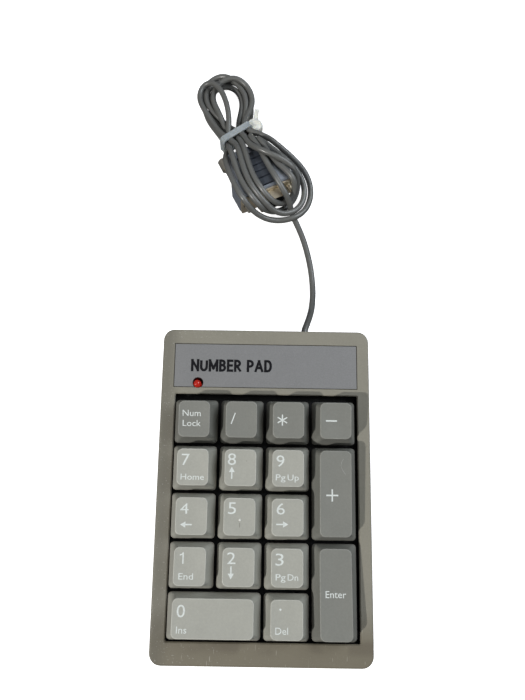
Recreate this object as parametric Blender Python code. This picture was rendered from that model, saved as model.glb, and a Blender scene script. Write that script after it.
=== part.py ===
"""Numeric keypad for a serial port, with its cord wound into a tied hank.

Metres, +Z up.  X runs across the keypad, +Y towards the cord.  The origin is on
the table, under the middle of the case.  The key deck slopes, so everything that
is square to it hangs from the empty called deck.
"""
import math

import bmesh
import bpy
import numpy as np
from mathutils import Vector

MM = 0.001
GAP = 0.3 * MM                      # between pieces that touch

# case
CASE_WIDTH = 88 * MM
CASE_DEPTH = 133.2 * MM
FRONT_HEIGHT = 20 * MM              # table to deck at the front edge
SLOPE = math.radians(6.5)
CORNER = 4.6 * MM
WALL = 2.2 * MM
EDGE_ROUND = 0.8 * MM
CASE_BOTTOM = 2 * MM                # the feet hold it off the table
PARTING = 8.7 * MM
FLOOR = CASE_BOTTOM + WALL
TONGUE_HEIGHT = 2.3 * MM
TONGUE_THICKNESS = 1.2 * MM

# deck: its origin is the middle of the key field, on the top surface
KEY_FIELD_FROM_FRONT = 56.55 * MM
DECK_Y = -CASE_DEPTH / 2 + KEY_FIELD_FROM_FRONT * math.cos(SLOPE)
DECK_Z = FRONT_HEIGHT + KEY_FIELD_FROM_FRONT * math.sin(SLOPE)

# keys
PITCH = 19.05 * MM
COLUMNS = 4
ROWS = 5
CAP_BASE = 18.1 * MM
CAP_FACE_WIDTH = 12.7 * MM
CAP_FACE_DEPTH = 14.4 * MM
CAP_FACE_SHIFT = 0.6 * MM           # the faces sit a little to the rear
CAP_SKIRT = -1.0 * MM               # skirt edge, measured from the deck
CAP_WALL = 1.4 * MM
CAP_DISH = 0.7 * MM
BASE_ROUND = 1.5 * MM
FACE_ROUND = 2.0 * MM
TRAVEL = 3.5 * MM
BOSS = 5.6 * MM
BOSS_HOLE = 3.6 * MM
BOSS_END = -0.9 * MM
# face height above the deck and face tilt, from the rear row to the front row
ROW_FACES = ((9.0, 5.5), (8.0, 3.5), (6.6, 0.0), (6.1, -3.0), (5.9, -5.5))

# name, column, row, width and depth in key units
KEYS = (
    ("num_lock", 0, 0, 1, 1),
    ("divide", 1, 0, 1, 1),
    ("multiply", 2, 0, 1, 1),
    ("minus", 3, 0, 1, 1),
    ("seven", 0, 1, 1, 1),
    ("eight", 1, 1, 1, 1),
    ("nine", 2, 1, 1, 1),
    ("plus", 3, 1, 1, 2),
    ("four", 0, 2, 1, 1),
    ("five", 1, 2, 1, 1),
    ("six", 2, 2, 1, 1),
    ("one", 0, 3, 1, 1),
    ("two", 1, 3, 1, 1),
    ("three", 2, 3, 1, 1),
    ("enter", 3, 3, 1, 2),
    ("zero", 0, 4, 2, 1),
    ("decimal", 2, 4, 1, 1),
)
PALE_KEYS = ("zero", "one", "two", "three", "four", "five", "six", "seven",
             "eight", "nine", "decimal")

# openings in the deck
WELL_WIDTH = 76.7 * MM
WELL_DEPTH = 97.4 * MM
WELL_X = 0.4 * MM
WELL_Y = 1.0 * MM
WELL_RIM = 1.2 * MM
WELL_FLOOR = -5.6 * MM
WELL_CHAMFER = 0.4 * MM
LABEL_WIDTH = 77.9 * MM
LABEL_DEPTH = 18.9 * MM
LABEL_Y = 61.9 * MM
LABEL_RECESS = 0.9 * MM
LED_X = -28.6 * MM
LED_Y = 54.5 * MM
LED_HOLE = 2.3 * MM
LED_RADIUS = 1.8 * MM

# mechanism, heights measured from the deck
SLIDER = 6.0 * MM
BORE = 6.6 * MM
CHIMNEY = 8.8 * MM
CHIMNEY_TOP = -0.9 * MM
FRAME_TOP = -5.9 * MM
FRAME_BOTTOM = -7.4 * MM
FRAME_WIDTH = 81 * MM
FRAME_DEPTH = 99.4 * MM
LATCH = 8.0 * MM
LATCH_BOTTOM = -8.9 * MM
PIP = 4.0 * MM
PIP_END = -9.9 * MM
DOME_TOP = PIP_END - GAP
SHEET_TOP = -13.6 * MM
SHEET_BOTTOM = -14.2 * MM
SHEET_WIDTH = 74.5 * MM
SHEET_DEPTH = 94 * MM
DOME_WALL = 0.6 * MM
BOARD_TOP = -14.5 * MM
BOARD_BOTTOM = -16.1 * MM
BOARD_WIDTH = 80 * MM
BOARD_FRONT = -49 * MM
BOARD_REAR = 67 * MM
LEG_X = 38.8 * MM

# fasteners and feet
SCREW_X = 34.5 * MM
SCREW_Y = 57.5 * MM
SCREW_BOSS_JOINT = 14 * MM
SCREW_SHANK = 1.25 * MM
SCREW_HEAD = 2.8 * MM
SCREW_SEAT = 6.5 * MM
SCREW_END = 23 * MM
FOOT_X = 34 * MM
FOOT_Y = 55 * MM
FOOT_RADIUS = 5 * MM
FOOT_POCKET = 0.8 * MM

# cord
CORD_DIAMETER = 3.0 * MM
EXIT_X = 18 * MM
EXIT_Z = 14.5 * MM
RELIEF_LENGTH = 5.5 * MM            # outside the rear wall
CORD_Y = CASE_DEPTH / 2 + RELIEF_LENGTH + GAP
# the run across the table, from the strain relief to the hank, in millimetres
RUN_ROUTE = (
    (18.0, 72.4, 14.5), (18.3, 74.4, 14.3), (19.6, 78.2, 12.9), (21.2, 83.4, 9.8),
    (22.5, 89.6, 6.3), (23.2, 96.8, 3.3), (23.3, 104.4, 1.8), (22.3, 112.2, 1.5),
    (20.6, 120.6, 1.5), (18.5, 129.6, 1.5), (16.4, 136.9, 1.5), (15.2, 139.25, 1.5),
    (14.05, 141.15, 1.5),
)
RUN_SPACING = 2.2 * CORD_DIAMETER

# hank: an upper lobe, a waist held by the tie and a lower lobe over the plug
WAIST = Vector((-17.3, 186.4)) * MM
HANK_AXIS = Vector((0.595, -0.803)).normalized()
HANK_ACROSS = Vector((-HANK_AXIS.y, HANK_AXIS.x))
NECK_OFFSET = 9.6 * MM
NECK_RADIUS = 7.3 * MM
UPPER_CENTRE = Vector((-23.5, 213)) * MM
UPPER_RADIUS = 16.5 * MM
LOWER_CENTRE = Vector((3, 159.5)) * MM
LOWER_RADIUS = 21 * MM
WAIST_WIDTH = 16.4 * MM
WAIST_LENGTH = 14 * MM
WAIST_BOTTOM = 1.6 * MM
WAIST_TOP = 10.6 * MM
LOWER_TOP = 20.5 * MM
TABLE_CLEARANCE = 0.1 * MM
TIE_THICKNESS = 1.2 * MM
TIE_WIDTH = 3.0 * MM
TIE_CORNER = 0.8 * MM
TIE_HEAD = (5.2 * MM, 5.0 * MM, 5.4 * MM)
TIE_TAIL = (2.4 * MM, 9.0 * MM, 1.2 * MM)    # width, length, thickness
TIE_TAIL_LEAN = math.radians(-41)

# plug: its empty stands on the table under the middle of the flange's face,
# with +Y running back towards the cord
PLUG_ORIGIN = (-0.16 * MM, 150.9 * MM, TABLE_CLEARANCE)
PLUG_TURN = math.radians(27.5)
FLANGE_WIDTH = 30.8 * MM
FLANGE_HEIGHT = 12.5 * MM
FLANGE_THICKNESS = 0.8 * MM
HOOD_HEIGHT = 14 * MM
HOOD_LENGTH = 27 * MM
HOOD_SHOULDER = 11 * MM             # behind it the hood is narrower, beside the jackscrews
HOOD_BACK_HALF = 9.7 * MM
HOOD_NECK_LENGTH = 5 * MM
HOOD_NECK_RADIUS = 4 * MM
GRIP_WIDTH = 13 * MM
GRIP_LENGTH = 20 * MM
GRIP_PROUD = 1.0 * MM
GRIP_DEPTH = 1.5 * MM
GRIP_RIBS = 5
SHELL_WIDTH = 16.9 * MM
SHELL_HEIGHT = 8.4 * MM
SHELL_LENGTH = 6.0 * MM
SHELL_WALL = 0.5 * MM
JACK_SPACING = 25 * MM
JACK_RADIUS = 1.25 * MM
JACK_HEAD_RADIUS = 2.4 * MM
JACK_HEAD_START = 23 * MM
JACK_HEAD_LENGTH = 6.5 * MM

CORNER_STEPS = 6
CAP_STEPS = 3
CIRCLE = 24


# ---------------------------------------------------------------- scene helpers

def clear_scene():
    for item in list(bpy.data.objects):
        bpy.data.objects.remove(item, do_unlink=True)


def material(name, colour, roughness, metallic=0.0):
    made = bpy.data.materials.new(name)
    made.use_nodes = True
    shader = made.node_tree.nodes["Principled BSDF"]
    shader.inputs["Base Color"].default_value = (*colour, 1.0)
    shader.inputs["Roughness"].default_value = roughness
    shader.inputs["Metallic"].default_value = metallic
    return made


def empty(name, location, rotation):
    made = bpy.data.objects.new(name, None)
    bpy.context.scene.collection.objects.link(made)
    made.location = location
    made.rotation_euler = rotation
    return made


def add_object(name, mesh, finish=None, parent=None, location=(0, 0, 0)):
    made = bpy.data.objects.new(name, mesh)
    bpy.context.scene.collection.objects.link(made)
    made.parent = parent
    made.location = location
    if finish:
        made.data.materials.append(finish)
    return made


def smooth(mesh, degrees=35):
    mesh.shade_smooth()
    mesh.set_sharp_from_angle(angle=math.radians(degrees))
    return mesh


def combine(target, other, operation):
    """Join or cut with another object, which then only shows as wire."""
    other.hide_render = True
    other.display_type = "WIRE"
    modifier = target.modifiers.new(other.name, "BOOLEAN")
    modifier.operation = operation
    modifier.object = other
    modifier.solver = "EXACT"


def add_to(target, other):
    combine(target, other, "UNION")


def cut_from(target, other):
    combine(target, other, "DIFFERENCE")


# ---------------------------------------------------------------- mesh helpers

def loft(rings, name, shading=None):
    """A closed solid through rings of equally many points, capped at both ends."""
    return loft_many([rings], name, shading)


def loft_many(solids, name, shading=None):
    """One mesh of several separate closed solids, each a list of rings."""
    shape = bmesh.new()
    for rings in solids:
        loops = [[shape.verts.new(point) for point in ring] for ring in rings]
        for lower, upper in zip(loops, loops[1:]):
            for i in range(len(lower)):
                j = (i + 1) % len(lower)
                shape.faces.new((lower[i], lower[j], upper[j], upper[i]))
        shape.faces.new(list(reversed(loops[0])))
        shape.faces.new(loops[-1])
    bmesh.ops.recalc_face_normals(shape, faces=shape.faces)
    mesh = bpy.data.meshes.new(name)
    shape.to_mesh(mesh)
    shape.free()
    if shading:
        smooth(mesh, shading)
    return mesh


def rounded(half_width, half_depth, radius, steps=CORNER_STEPS, centre=(0, 0)):
    """Outline of a rectangle with round corners, anticlockwise."""
    points = []
    for quarter in range(4):
        start = quarter * math.pi / 2
        corner_x = (half_width - radius) * (1 if quarter in (0, 3) else -1)
        corner_y = (half_depth - radius) * (1 if quarter in (0, 1) else -1)
        for step in range(steps + 1):
            angle = start + step / steps * math.pi / 2
            x = centre[0] + corner_x + radius * math.cos(angle)
            y = centre[1] + corner_y + radius * math.sin(angle)
            points.append((x, y))
    return points


def circle(radius, centre=(0, 0), count=CIRCLE):
    turns = [2 * math.pi * i / count for i in range(count)]
    return [(centre[0] + radius * math.cos(a), centre[1] + radius * math.sin(a)) for a in turns]


def level(outline, z):
    return [(x, y, z) for x, y in outline]


def prism(outline, low, high):
    return [level(outline, low), level(outline, high)]


def block(width, depth, low, high, centre=(0, 0)):
    x, y = centre
    outline = [(x + sx * width / 2, y + sy * depth / 2)
               for sx, sy in ((-1, -1), (1, -1), (1, 1), (-1, 1))]
    return prism(outline, low, high)


def turned_along_y(profile, x, z, count=CIRCLE):
    """Rings of a turned piece lying along Y; profile is (y, radius) pairs."""
    return [[(x + px, y, z + pz) for px, pz in circle(radius, count=count)] for y, radius in profile]


def key_centre(column, row, width, depth):
    x = (column + width / 2 - COLUMNS / 2) * PITCH
    y = (ROWS / 2 - row - depth / 2) * PITCH
    return x, y


def key_face(row, depth):
    """Height and tilt of a key's face; a two-row key takes the mean of its rows."""
    rows = ROW_FACES[row:row + depth]
    height = sum(r[0] for r in rows) / depth * MM
    tilt = math.radians(sum(r[1] for r in rows) / depth)
    return height, tilt


def face_size(width, depth):
    return CAP_FACE_WIDTH + (width - 1) * PITCH, CAP_FACE_DEPTH + (depth - 1) * PITCH


def cap_ceiling(row, depth):
    """Underside of a keycap's top, below the lowest point of its dished face."""
    height, tilt = key_face(row, depth)
    half = face_size(1, depth)[1] / 2
    return height - half * abs(math.tan(tilt)) - CAP_DISH - CAP_WALL


def deck_height(y):
    """Height of the sloping top surface over the table."""
    return FRONT_HEIGHT + (y + CASE_DEPTH / 2) * math.tan(SLOPE)


def deck_to_world(y, z):
    world_y = DECK_Y + y * math.cos(SLOPE) - z * math.sin(SLOPE)
    world_z = DECK_Z + y * math.sin(SLOPE) + z * math.cos(SLOPE)
    return world_y, world_z


def case_outline(inset):
    return rounded(CASE_WIDTH / 2 - inset, CASE_DEPTH / 2 - inset, CORNER - min(inset, 0.8 * CORNER))


def under_deck(outline, drop):
    return [(x, y, deck_height(y) - drop) for x, y in outline]


# ---------------------------------------------------------------- case

def make_top_cover(deck, finish):
    rings = [
        under_deck(case_outline(WALL), WALL / math.cos(SLOPE)),
        level(case_outline(WALL), PARTING + GAP),
        level(case_outline(0), PARTING + GAP),
    ]
    for step in range(4):
        angle = step / 3 * math.pi / 2
        inset = EDGE_ROUND * (1 - math.cos(angle))
        drop = EDGE_ROUND * (1 - math.sin(angle))
        rings.append(under_deck(case_outline(inset), drop))
    cover = add_object("top_cover", loft(rings, "top_cover", 30), finish)

    rim = block(WELL_WIDTH + 2 * WELL_RIM, WELL_DEPTH + 2 * WELL_RIM, WELL_FLOOR, -1 * MM, (WELL_X, WELL_Y))
    add_to(cover, add_object("well_rim", loft(rim, "well_rim"), parent=deck))

    well = []
    for z, flare in ((WELL_FLOOR - MM, 0), (-WELL_CHAMFER, 0), (0.1 * MM, WELL_CHAMFER + 0.1 * MM), (MM, 1.5 * MM)):
        outline = rounded(WELL_WIDTH / 2 + flare, WELL_DEPTH / 2 + flare, 0.5 * MM, 2, (WELL_X, WELL_Y))
        well.append(level(outline, z))
    cut_from(cover, add_object("well_cutter", loft(well, "well_cutter"), parent=deck))

    recess = block(LABEL_WIDTH, LABEL_DEPTH, -LABEL_RECESS, MM, (0, LABEL_Y))
    cut_from(cover, add_object("label_cutter", loft(recess, "label_cutter"), parent=deck))
    hole = prism(circle(LED_HOLE, (LED_X, LED_Y)), -4 * MM, MM)
    cut_from(cover, add_object("led_cutter", loft(hole, "led_cutter"), parent=deck))

    bosses = []
    pilots = []
    for side in (-1, 1):
        centre = (side * SCREW_X, SCREW_Y)
        top = deck_height(SCREW_Y) - MM
        bosses.append(prism(circle(3 * MM, centre), SCREW_BOSS_JOINT + GAP, top))
        pilots.append(prism(circle(SCREW_SHANK + GAP, centre), SCREW_BOSS_JOINT - MM, SCREW_END + MM))
    add_to(cover, add_object("top_bosses", loft_many(bosses, "top_bosses")))
    cut_from(cover, add_object("pilot_cutter", loft_many(pilots, "pilot_cutter")))

    outlet = turned_along_y(((CASE_DEPTH / 2 - 6 * MM, 3.3 * MM), (CASE_DEPTH / 2 + MM, 3.3 * MM)), EXIT_X, EXIT_Z)
    cut_from(cover, add_object("outlet_cutter", loft(outlet, "outlet_cutter")))
    return cover


def make_bottom_cover(finish):
    inner = WALL + GAP + TONGUE_THICKNESS
    tongue_top = PARTING + TONGUE_HEIGHT
    rings = [
        level(case_outline(inner), FLOOR),
        level(case_outline(inner), tongue_top),
        level(case_outline(WALL + GAP), tongue_top),
        level(case_outline(WALL + GAP), PARTING),
        level(case_outline(0), PARTING),
        level(case_outline(0), CASE_BOTTOM + MM),
        level(case_outline(0.3 * MM), CASE_BOTTOM + 0.3 * MM),
        level(case_outline(MM), CASE_BOTTOM),
    ]
    cover = add_object("bottom_cover", loft(rings, "bottom_cover", 30), finish)

    posts = []
    for side in (-1, 1):
        for board_y in (-46 * MM, 40 * MM):
            y, top = deck_to_world(board_y, BOARD_BOTTOM)
            posts.append(prism(circle(1.8 * MM, (side * 37 * MM, y), 12), FLOOR - MM, top - 0.6 * MM))
        posts.append(prism(circle(4.2 * MM, (side * SCREW_X, SCREW_Y)), FLOOR - MM, SCREW_BOSS_JOINT))
    add_to(cover, add_object("bottom_posts", loft_many(posts, "bottom_posts")))

    cuts = []
    for side in (-1, 1):
        centre = (side * SCREW_X, SCREW_Y)
        cuts.append([
            level(circle(SCREW_HEAD + 0.4 * MM, centre), CASE_BOTTOM - MM),
            level(circle(SCREW_HEAD + 0.4 * MM, centre), SCREW_SEAT),
            level(circle(SCREW_SHANK + GAP, centre), SCREW_SEAT),
            level(circle(SCREW_SHANK + GAP, centre), SCREW_BOSS_JOINT + MM),
        ])
        for end in (-1, 1):
            pocket = circle(FOOT_RADIUS + GAP, foot_place(side, end))
            cuts.append(prism(pocket, CASE_BOTTOM - MM, CASE_BOTTOM + FOOT_POCKET))
    cut_from(cover, add_object("bottom_cutter", loft_many(cuts, "bottom_cutter")))
    return cover


def foot_place(side, end):
    """The rear feet stand inboard of the screws."""
    x = side * (FOOT_X if end < 0 else FOOT_X - 10 * MM)
    return x, end * FOOT_Y


def make_feet(finish):
    rings = [
        level(circle(FOOT_RADIUS - 0.5 * MM), 0),
        level(circle(FOOT_RADIUS), 0.5 * MM),
        level(circle(FOOT_RADIUS), CASE_BOTTOM + FOOT_POCKET - GAP),
    ]
    mesh = loft(rings, "foot", 40)
    mesh.materials.append(finish)
    for side, side_name in ((-1, "left"), (1, "right")):
        for end, end_name in ((-1, "front"), (1, "rear")):
            add_object(f"foot_{end_name}_{side_name}", mesh, location=(*foot_place(side, end), 0))


def make_case_screws(finish):
    seat = SCREW_SEAT - GAP
    rings = [
        level(circle(SCREW_HEAD - 0.5 * MM), seat - 1.7 * MM),
        level(circle(SCREW_HEAD), seat - 1.2 * MM),
        level(circle(SCREW_HEAD), seat),
        level(circle(SCREW_SHANK), seat),
        level(circle(SCREW_SHANK), SCREW_END - MM),
        level(circle(0.4 * MM), SCREW_END),
    ]
    mesh = loft(rings, "case_screw", 40)
    mesh.materials.append(finish)
    slot_cutter = loft(block(0.8 * MM, 4 * MM, seat - 3 * MM, seat - 1.1 * MM), "screw_slot")
    for side, name in ((-1, "left"), (1, "right")):
        place = (side * SCREW_X, SCREW_Y, 0)
        screw = add_object(f"case_screw_{name}", mesh, location=place)
        cut_from(screw, add_object(f"slot_cutter_{name}", slot_cutter, location=place))


def make_label_plate(deck, finish):
    plate = block(LABEL_WIDTH - 2 * GAP, LABEL_DEPTH - 2 * GAP, -0.6 * MM, -0.15 * MM, (0, LABEL_Y))
    label = add_object("label_plate", loft(plate, "label_plate"), finish, deck)
    notch = prism(circle(LED_HOLE, (LED_X, LED_Y)), -2 * MM, MM)
    cut_from(label, add_object("notch_cutter", loft(notch, "notch_cutter"), parent=deck))


# ---------------------------------------------------------------- electronics

def make_status_led(deck, finish):
    flange = 2.0 * MM
    body = [level(circle(flange, count=16), -4 * MM), level(circle(flange, count=16), -3.2 * MM)]
    body.append(level(circle(LED_RADIUS, count=16), -3.2 * MM))
    for step in range(4):
        angle = step / 4 * math.pi / 2
        body.append(level(circle(LED_RADIUS * math.cos(angle), count=16), LED_RADIUS * math.sin(angle)))
    lead_half = 0.25 * MM
    led = add_object("status_led", loft(body, "status_led", 50), finish, deck, (LED_X, LED_Y, 0))
    leads = [block(2 * lead_half, 2 * lead_half, BOARD_TOP + GAP, -3.8 * MM, (side * 1.27 * MM, 0)) for side in (-1, 1)]
    add_to(led, add_object("led_leads", loft_many(leads, "led_leads"), parent=deck, location=(LED_X, LED_Y, 0)))


def make_circuit_board(deck, finish):
    middle = (0, (BOARD_FRONT + BOARD_REAR) / 2)
    board = block(BOARD_WIDTH, BOARD_REAR - BOARD_FRONT, BOARD_BOTTOM, BOARD_TOP, middle)
    made = add_object("circuit_board", loft(board, "circuit_board"), finish, deck)
    notches = [prism(circle(3.8 * MM, (side * SCREW_X, SCREW_Y)), FLOOR, 30 * MM) for side in (-1, 1)]
    cut_from(made, add_object("board_cutter", loft_many(notches, "board_cutter")))


def make_controller_chip(deck, finish):
    length = 36 * MM
    pins_a_side = 14
    pin_pitch = 2.54 * MM
    low = BOARD_TOP + 1.1 * MM
    chip = add_object("controller_chip", loft(block(length, 12.6 * MM, low, low + 3.8 * MM), "chip"),
                      finish, deck, (2 * MM, 58 * MM, 0))
    pins = []
    for side in (-1, 1):
        for pin in range(pins_a_side):
            x = (pin - (pins_a_side - 1) / 2) * pin_pitch
            pins.append(block(0.6 * MM, 1.2 * MM, BOARD_TOP + GAP, low + 1.6 * MM, (x, side * 6.7 * MM)))
    add_to(chip, add_object("chip_pins", loft_many(pins, "chip_pins"), parent=deck, location=(2 * MM, 58 * MM, 0)))


def make_crystal(deck, finish):
    low = BOARD_TOP + GAP
    rings = [
        level(rounded(5.5 * MM, 2.4 * MM, 2.3 * MM, 4), low),
        level(rounded(5.5 * MM, 2.4 * MM, 2.3 * MM, 4), low + 0.6 * MM),
        level(rounded(5.0 * MM, 1.9 * MM, 1.8 * MM, 4), low + 0.6 * MM),
        level(rounded(5.0 * MM, 1.9 * MM, 1.8 * MM, 4), low + 3.5 * MM),
    ]
    add_object("crystal", loft(rings, "crystal", 40), finish, deck, (-24 * MM, 62.5 * MM, 0))


# ---------------------------------------------------------------- keys

def make_guide_frame(deck, finish):
    plate = block(FRAME_WIDTH, FRAME_DEPTH, FRAME_BOTTOM, FRAME_TOP, (WELL_X / 2, WELL_Y))
    frame = add_object("key_guide_frame", loft(plate, "key_guide_frame"), finish, deck)
    chimneys = []
    bores = []
    for name, *cell in KEYS:
        centre = key_centre(*cell)
        chimneys.append(block(CHIMNEY, CHIMNEY, FRAME_TOP - 0.5 * MM, CHIMNEY_TOP, centre))
        bores.append(block(BORE, BORE, FRAME_BOTTOM - MM, CHIMNEY_TOP + MM, centre))
    legs = [block(2 * MM, 7 * MM, BOARD_TOP + GAP, FRAME_BOTTOM + 0.5 * MM, (side * LEG_X, y))
            for side in (-1, 1) for y in (-42 * MM, 0, 42 * MM)]
    add_to(frame, add_object("chimneys", loft_many(chimneys + legs, "chimneys"), parent=deck))
    cut_from(frame, add_object("bores", loft_many(bores, "bores"), parent=deck))


def make_dome_sheet(deck, finish):
    sheet = add_object("rubber_dome_sheet", loft(block(SHEET_WIDTH, SHEET_DEPTH, SHEET_BOTTOM, SHEET_TOP), "domes"),
                       finish, deck)
    outer = []
    inner = []
    for name, *cell in KEYS:
        centre = key_centre(*cell)
        outer.append([
            level(circle(5.4 * MM, centre, 12), SHEET_TOP - 0.2 * MM),
            level(circle(5.2 * MM, centre, 12), SHEET_TOP + 0.4 * MM),
            level(circle(2.8 * MM, centre, 12), DOME_TOP - 0.7 * MM),
            level(circle(2.6 * MM, centre, 12), DOME_TOP),
        ])
        inner.append([
            level(circle(4.8 * MM, centre, 12), SHEET_BOTTOM - MM),
            level(circle(4.6 * MM, centre, 12), SHEET_TOP + 0.4 * MM - DOME_WALL / 2),
            level(circle(2.0 * MM, centre, 12), DOME_TOP - 1.2 * MM),
        ])
    add_to(sheet, add_object("domes_outside", loft_many(outer, "domes_outside"), parent=deck))
    cut_from(sheet, add_object("domes_inside", loft_many(inner, "domes_inside"), parent=deck))


def keycap_mesh(name, row, width, depth):
    base_x = (width * PITCH - PITCH + CAP_BASE) / 2
    base_y = (depth * PITCH - PITCH + CAP_BASE) / 2
    face_width, face_depth = face_size(width, depth)
    height, tilt = key_face(row, depth)
    slope = math.tan(tilt)
    ceiling = cap_ceiling(row, depth)

    def face_ring(shrink, drop):
        half_x = face_width / 2 - shrink
        half_y = face_depth / 2 - shrink
        outline = rounded(half_x, half_y, max(FACE_ROUND - shrink, 0.4 * MM), CAP_STEPS, (0, CAP_FACE_SHIFT))
        return [(x, y, height + (y - CAP_FACE_SHIFT) * slope - drop) for x, y in outline]

    inside_top = rounded(face_width / 2 - CAP_WALL, face_depth / 2 - CAP_WALL, MM, CAP_STEPS, (0, CAP_FACE_SHIFT))
    inside_low = rounded(base_x - CAP_WALL, base_y - CAP_WALL, MM, CAP_STEPS)
    rings = [
        level(inside_top, ceiling),
        level(inside_low, CAP_SKIRT),
        level(rounded(base_x, base_y, BASE_ROUND, CAP_STEPS), CAP_SKIRT),
        face_ring(-0.25 * MM, 0.5 * MM),
        face_ring(0, 0),
        face_ring(1.2 * MM, 0.35 * CAP_DISH),
        face_ring(4.2 * MM, 0.9 * CAP_DISH),
    ]
    return loft(rings, name, 30)


def make_key(deck, key, dark, pale):
    name, column, row, width, depth = key
    place = (*key_centre(column, row, width, depth), 0)
    finish = pale if name in PALE_KEYS else dark
    ceiling = cap_ceiling(row, depth)
    cap = add_object(f"keycap_{name}", keycap_mesh(name, row, width, depth), finish, deck, place)
    boss = loft(block(BOSS, BOSS, BOSS_END, ceiling + 0.5 * MM), "boss")
    add_to(cap, add_object(f"boss_{name}", boss, parent=deck, location=place))
    socket = loft(block(BOSS_HOLE, BOSS_HOLE, BOSS_END - MM, ceiling), "socket")
    cut_from(cap, add_object(f"socket_{name}", socket, parent=deck, location=place))


def make_plunger(deck, key, finish):
    name, column, row, width, depth = key
    place = (*key_centre(column, row, width, depth), 0)
    peg = BOSS_HOLE - 2 * GAP
    steps = (
        (peg, cap_ceiling(row, depth) - GAP), (peg, BOSS_END - GAP),
        (SLIDER, BOSS_END - GAP), (SLIDER, FRAME_BOTTOM - GAP),
        (LATCH, FRAME_BOTTOM - GAP), (LATCH, LATCH_BOTTOM),
        (PIP, LATCH_BOTTOM), (PIP, PIP_END),
    )
    rings = [level(rounded(side / 2, side / 2, 0.4 * MM, 1), z) for side, z in steps]
    add_object(f"plunger_{name}", loft(rings, f"plunger_{name}"), finish, deck, place)


# ---------------------------------------------------------------- cord and hank

def smooth_route(points, spacing):
    """Even points along a Catmull-Rom curve through a route's own points."""
    route = np.array(points) * MM
    padded = np.vstack((2 * route[0] - route[1], route, 2 * route[-1] - route[-2]))
    t = np.linspace(0, 1, 24, endpoint=False)[:, None]
    fine = []
    for a, b, c, d in zip(padded, padded[1:], padded[2:], padded[3:]):
        fine.append(0.5 * (2 * b + (c - a) * t + (2 * a - 5 * b + 4 * c - d) * t ** 2
                           + (3 * b - a - 3 * c + d) * t ** 3))
    fine = np.vstack(fine + [route[-1:]])
    along = np.concatenate(([0], np.cumsum(np.linalg.norm(np.diff(fine, axis=0), axis=1))))
    stations = np.linspace(0, along[-1], round(along[-1] / spacing) + 1)
    # a short first and last step keep the end faces square to the route
    square = 0.2 * spacing
    stations = np.concatenate(([0, square], stations[1:-1], [along[-1] - square, along[-1]]))
    return np.column_stack([np.interp(stations, along, fine[:, axis]) for axis in range(3)])


def tube(name, points, diameter, finish):
    curve = bpy.data.curves.new(name, "CURVE")
    curve.dimensions = "3D"
    curve.bevel_depth = diameter / 2
    curve.bevel_resolution = 2
    curve.use_fill_caps = True
    spline = curve.splines.new("POLY")
    spline.points.add(len(points) - 1)
    for point, place in zip(spline.points, points):
        point.co = (*place, 1)
    return add_object(name, curve, finish)


def make_strain_relief(finish):
    wall = CASE_DEPTH / 2
    profile = (
        (wall - WALL - MM, 2.6 * MM), (wall - WALL, 3.0 * MM), (wall + GAP, 3.0 * MM),
        (wall + GAP, 4.2 * MM), (wall + 1.5 * MM, 4.2 * MM), (wall + 1.9 * MM, 3.2 * MM),
        (wall + RELIEF_LENGTH, 2.2 * MM),
    )
    add_object("strain_relief", loft(turned_along_y(profile, EXIT_X, EXIT_Z), "strain_relief", 30), finish)


def make_inner_lead(finish):
    """The cord's core, from the strain relief up to the circuit board."""
    end_y, end_z = deck_to_world(61 * MM, BOARD_TOP + GAP)
    end_y, end_z = end_y / MM, end_z / MM
    start_y = (CASE_DEPTH / 2 - WALL - MM - GAP) / MM
    lean = math.tan(SLOPE)
    route = (
        (18.0, start_y, EXIT_Z / MM), (18.1, start_y - 1.0, 14.7), (18.6, start_y - 2.3, 16.6),
        (20.0, start_y - 2.6, 20.0), (22.5, start_y - 4.0, 23.6), (25.5, end_y - 5 * lean + 1.2, 25.2),
        (27.6, end_y - 4 * lean, end_z + 4), (27.8, end_y, end_z),
    )
    tube("inner_lead", smooth_route(route, 1.5 * MM), 2.2 * MM, finish)


def make_cord_run(finish):
    tube("cord_run", smooth_route(RUN_ROUTE, RUN_SPACING), CORD_DIAMETER, finish)


def capsule(centre_a, radius_a, centre_b, radius_b, steps=12):
    """Outline around two circles: their outer arcs, joined by the tangents."""
    apart = centre_b - centre_a
    heading = math.atan2(apart.y, apart.x)
    lean = math.acos((radius_a - radius_b) / apart.length)
    points = []
    for step in range(steps + 1):
        angle = heading - lean + 2 * lean * step / steps
        points.append((centre_b.x + radius_b * math.cos(angle), centre_b.y + radius_b * math.sin(angle)))
    rest = 2 * math.pi - 2 * lean
    for step in range(steps + 1):
        angle = heading + lean + rest * step / steps
        points.append((centre_a.x + radius_a * math.cos(angle), centre_a.y + radius_a * math.sin(angle)))
    return points


def along_hank(distance, across=0.0):
    """A point measured from the waist, along the hank and across it."""
    return WAIST + HANK_AXIS * distance + HANK_ACROSS * across


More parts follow.
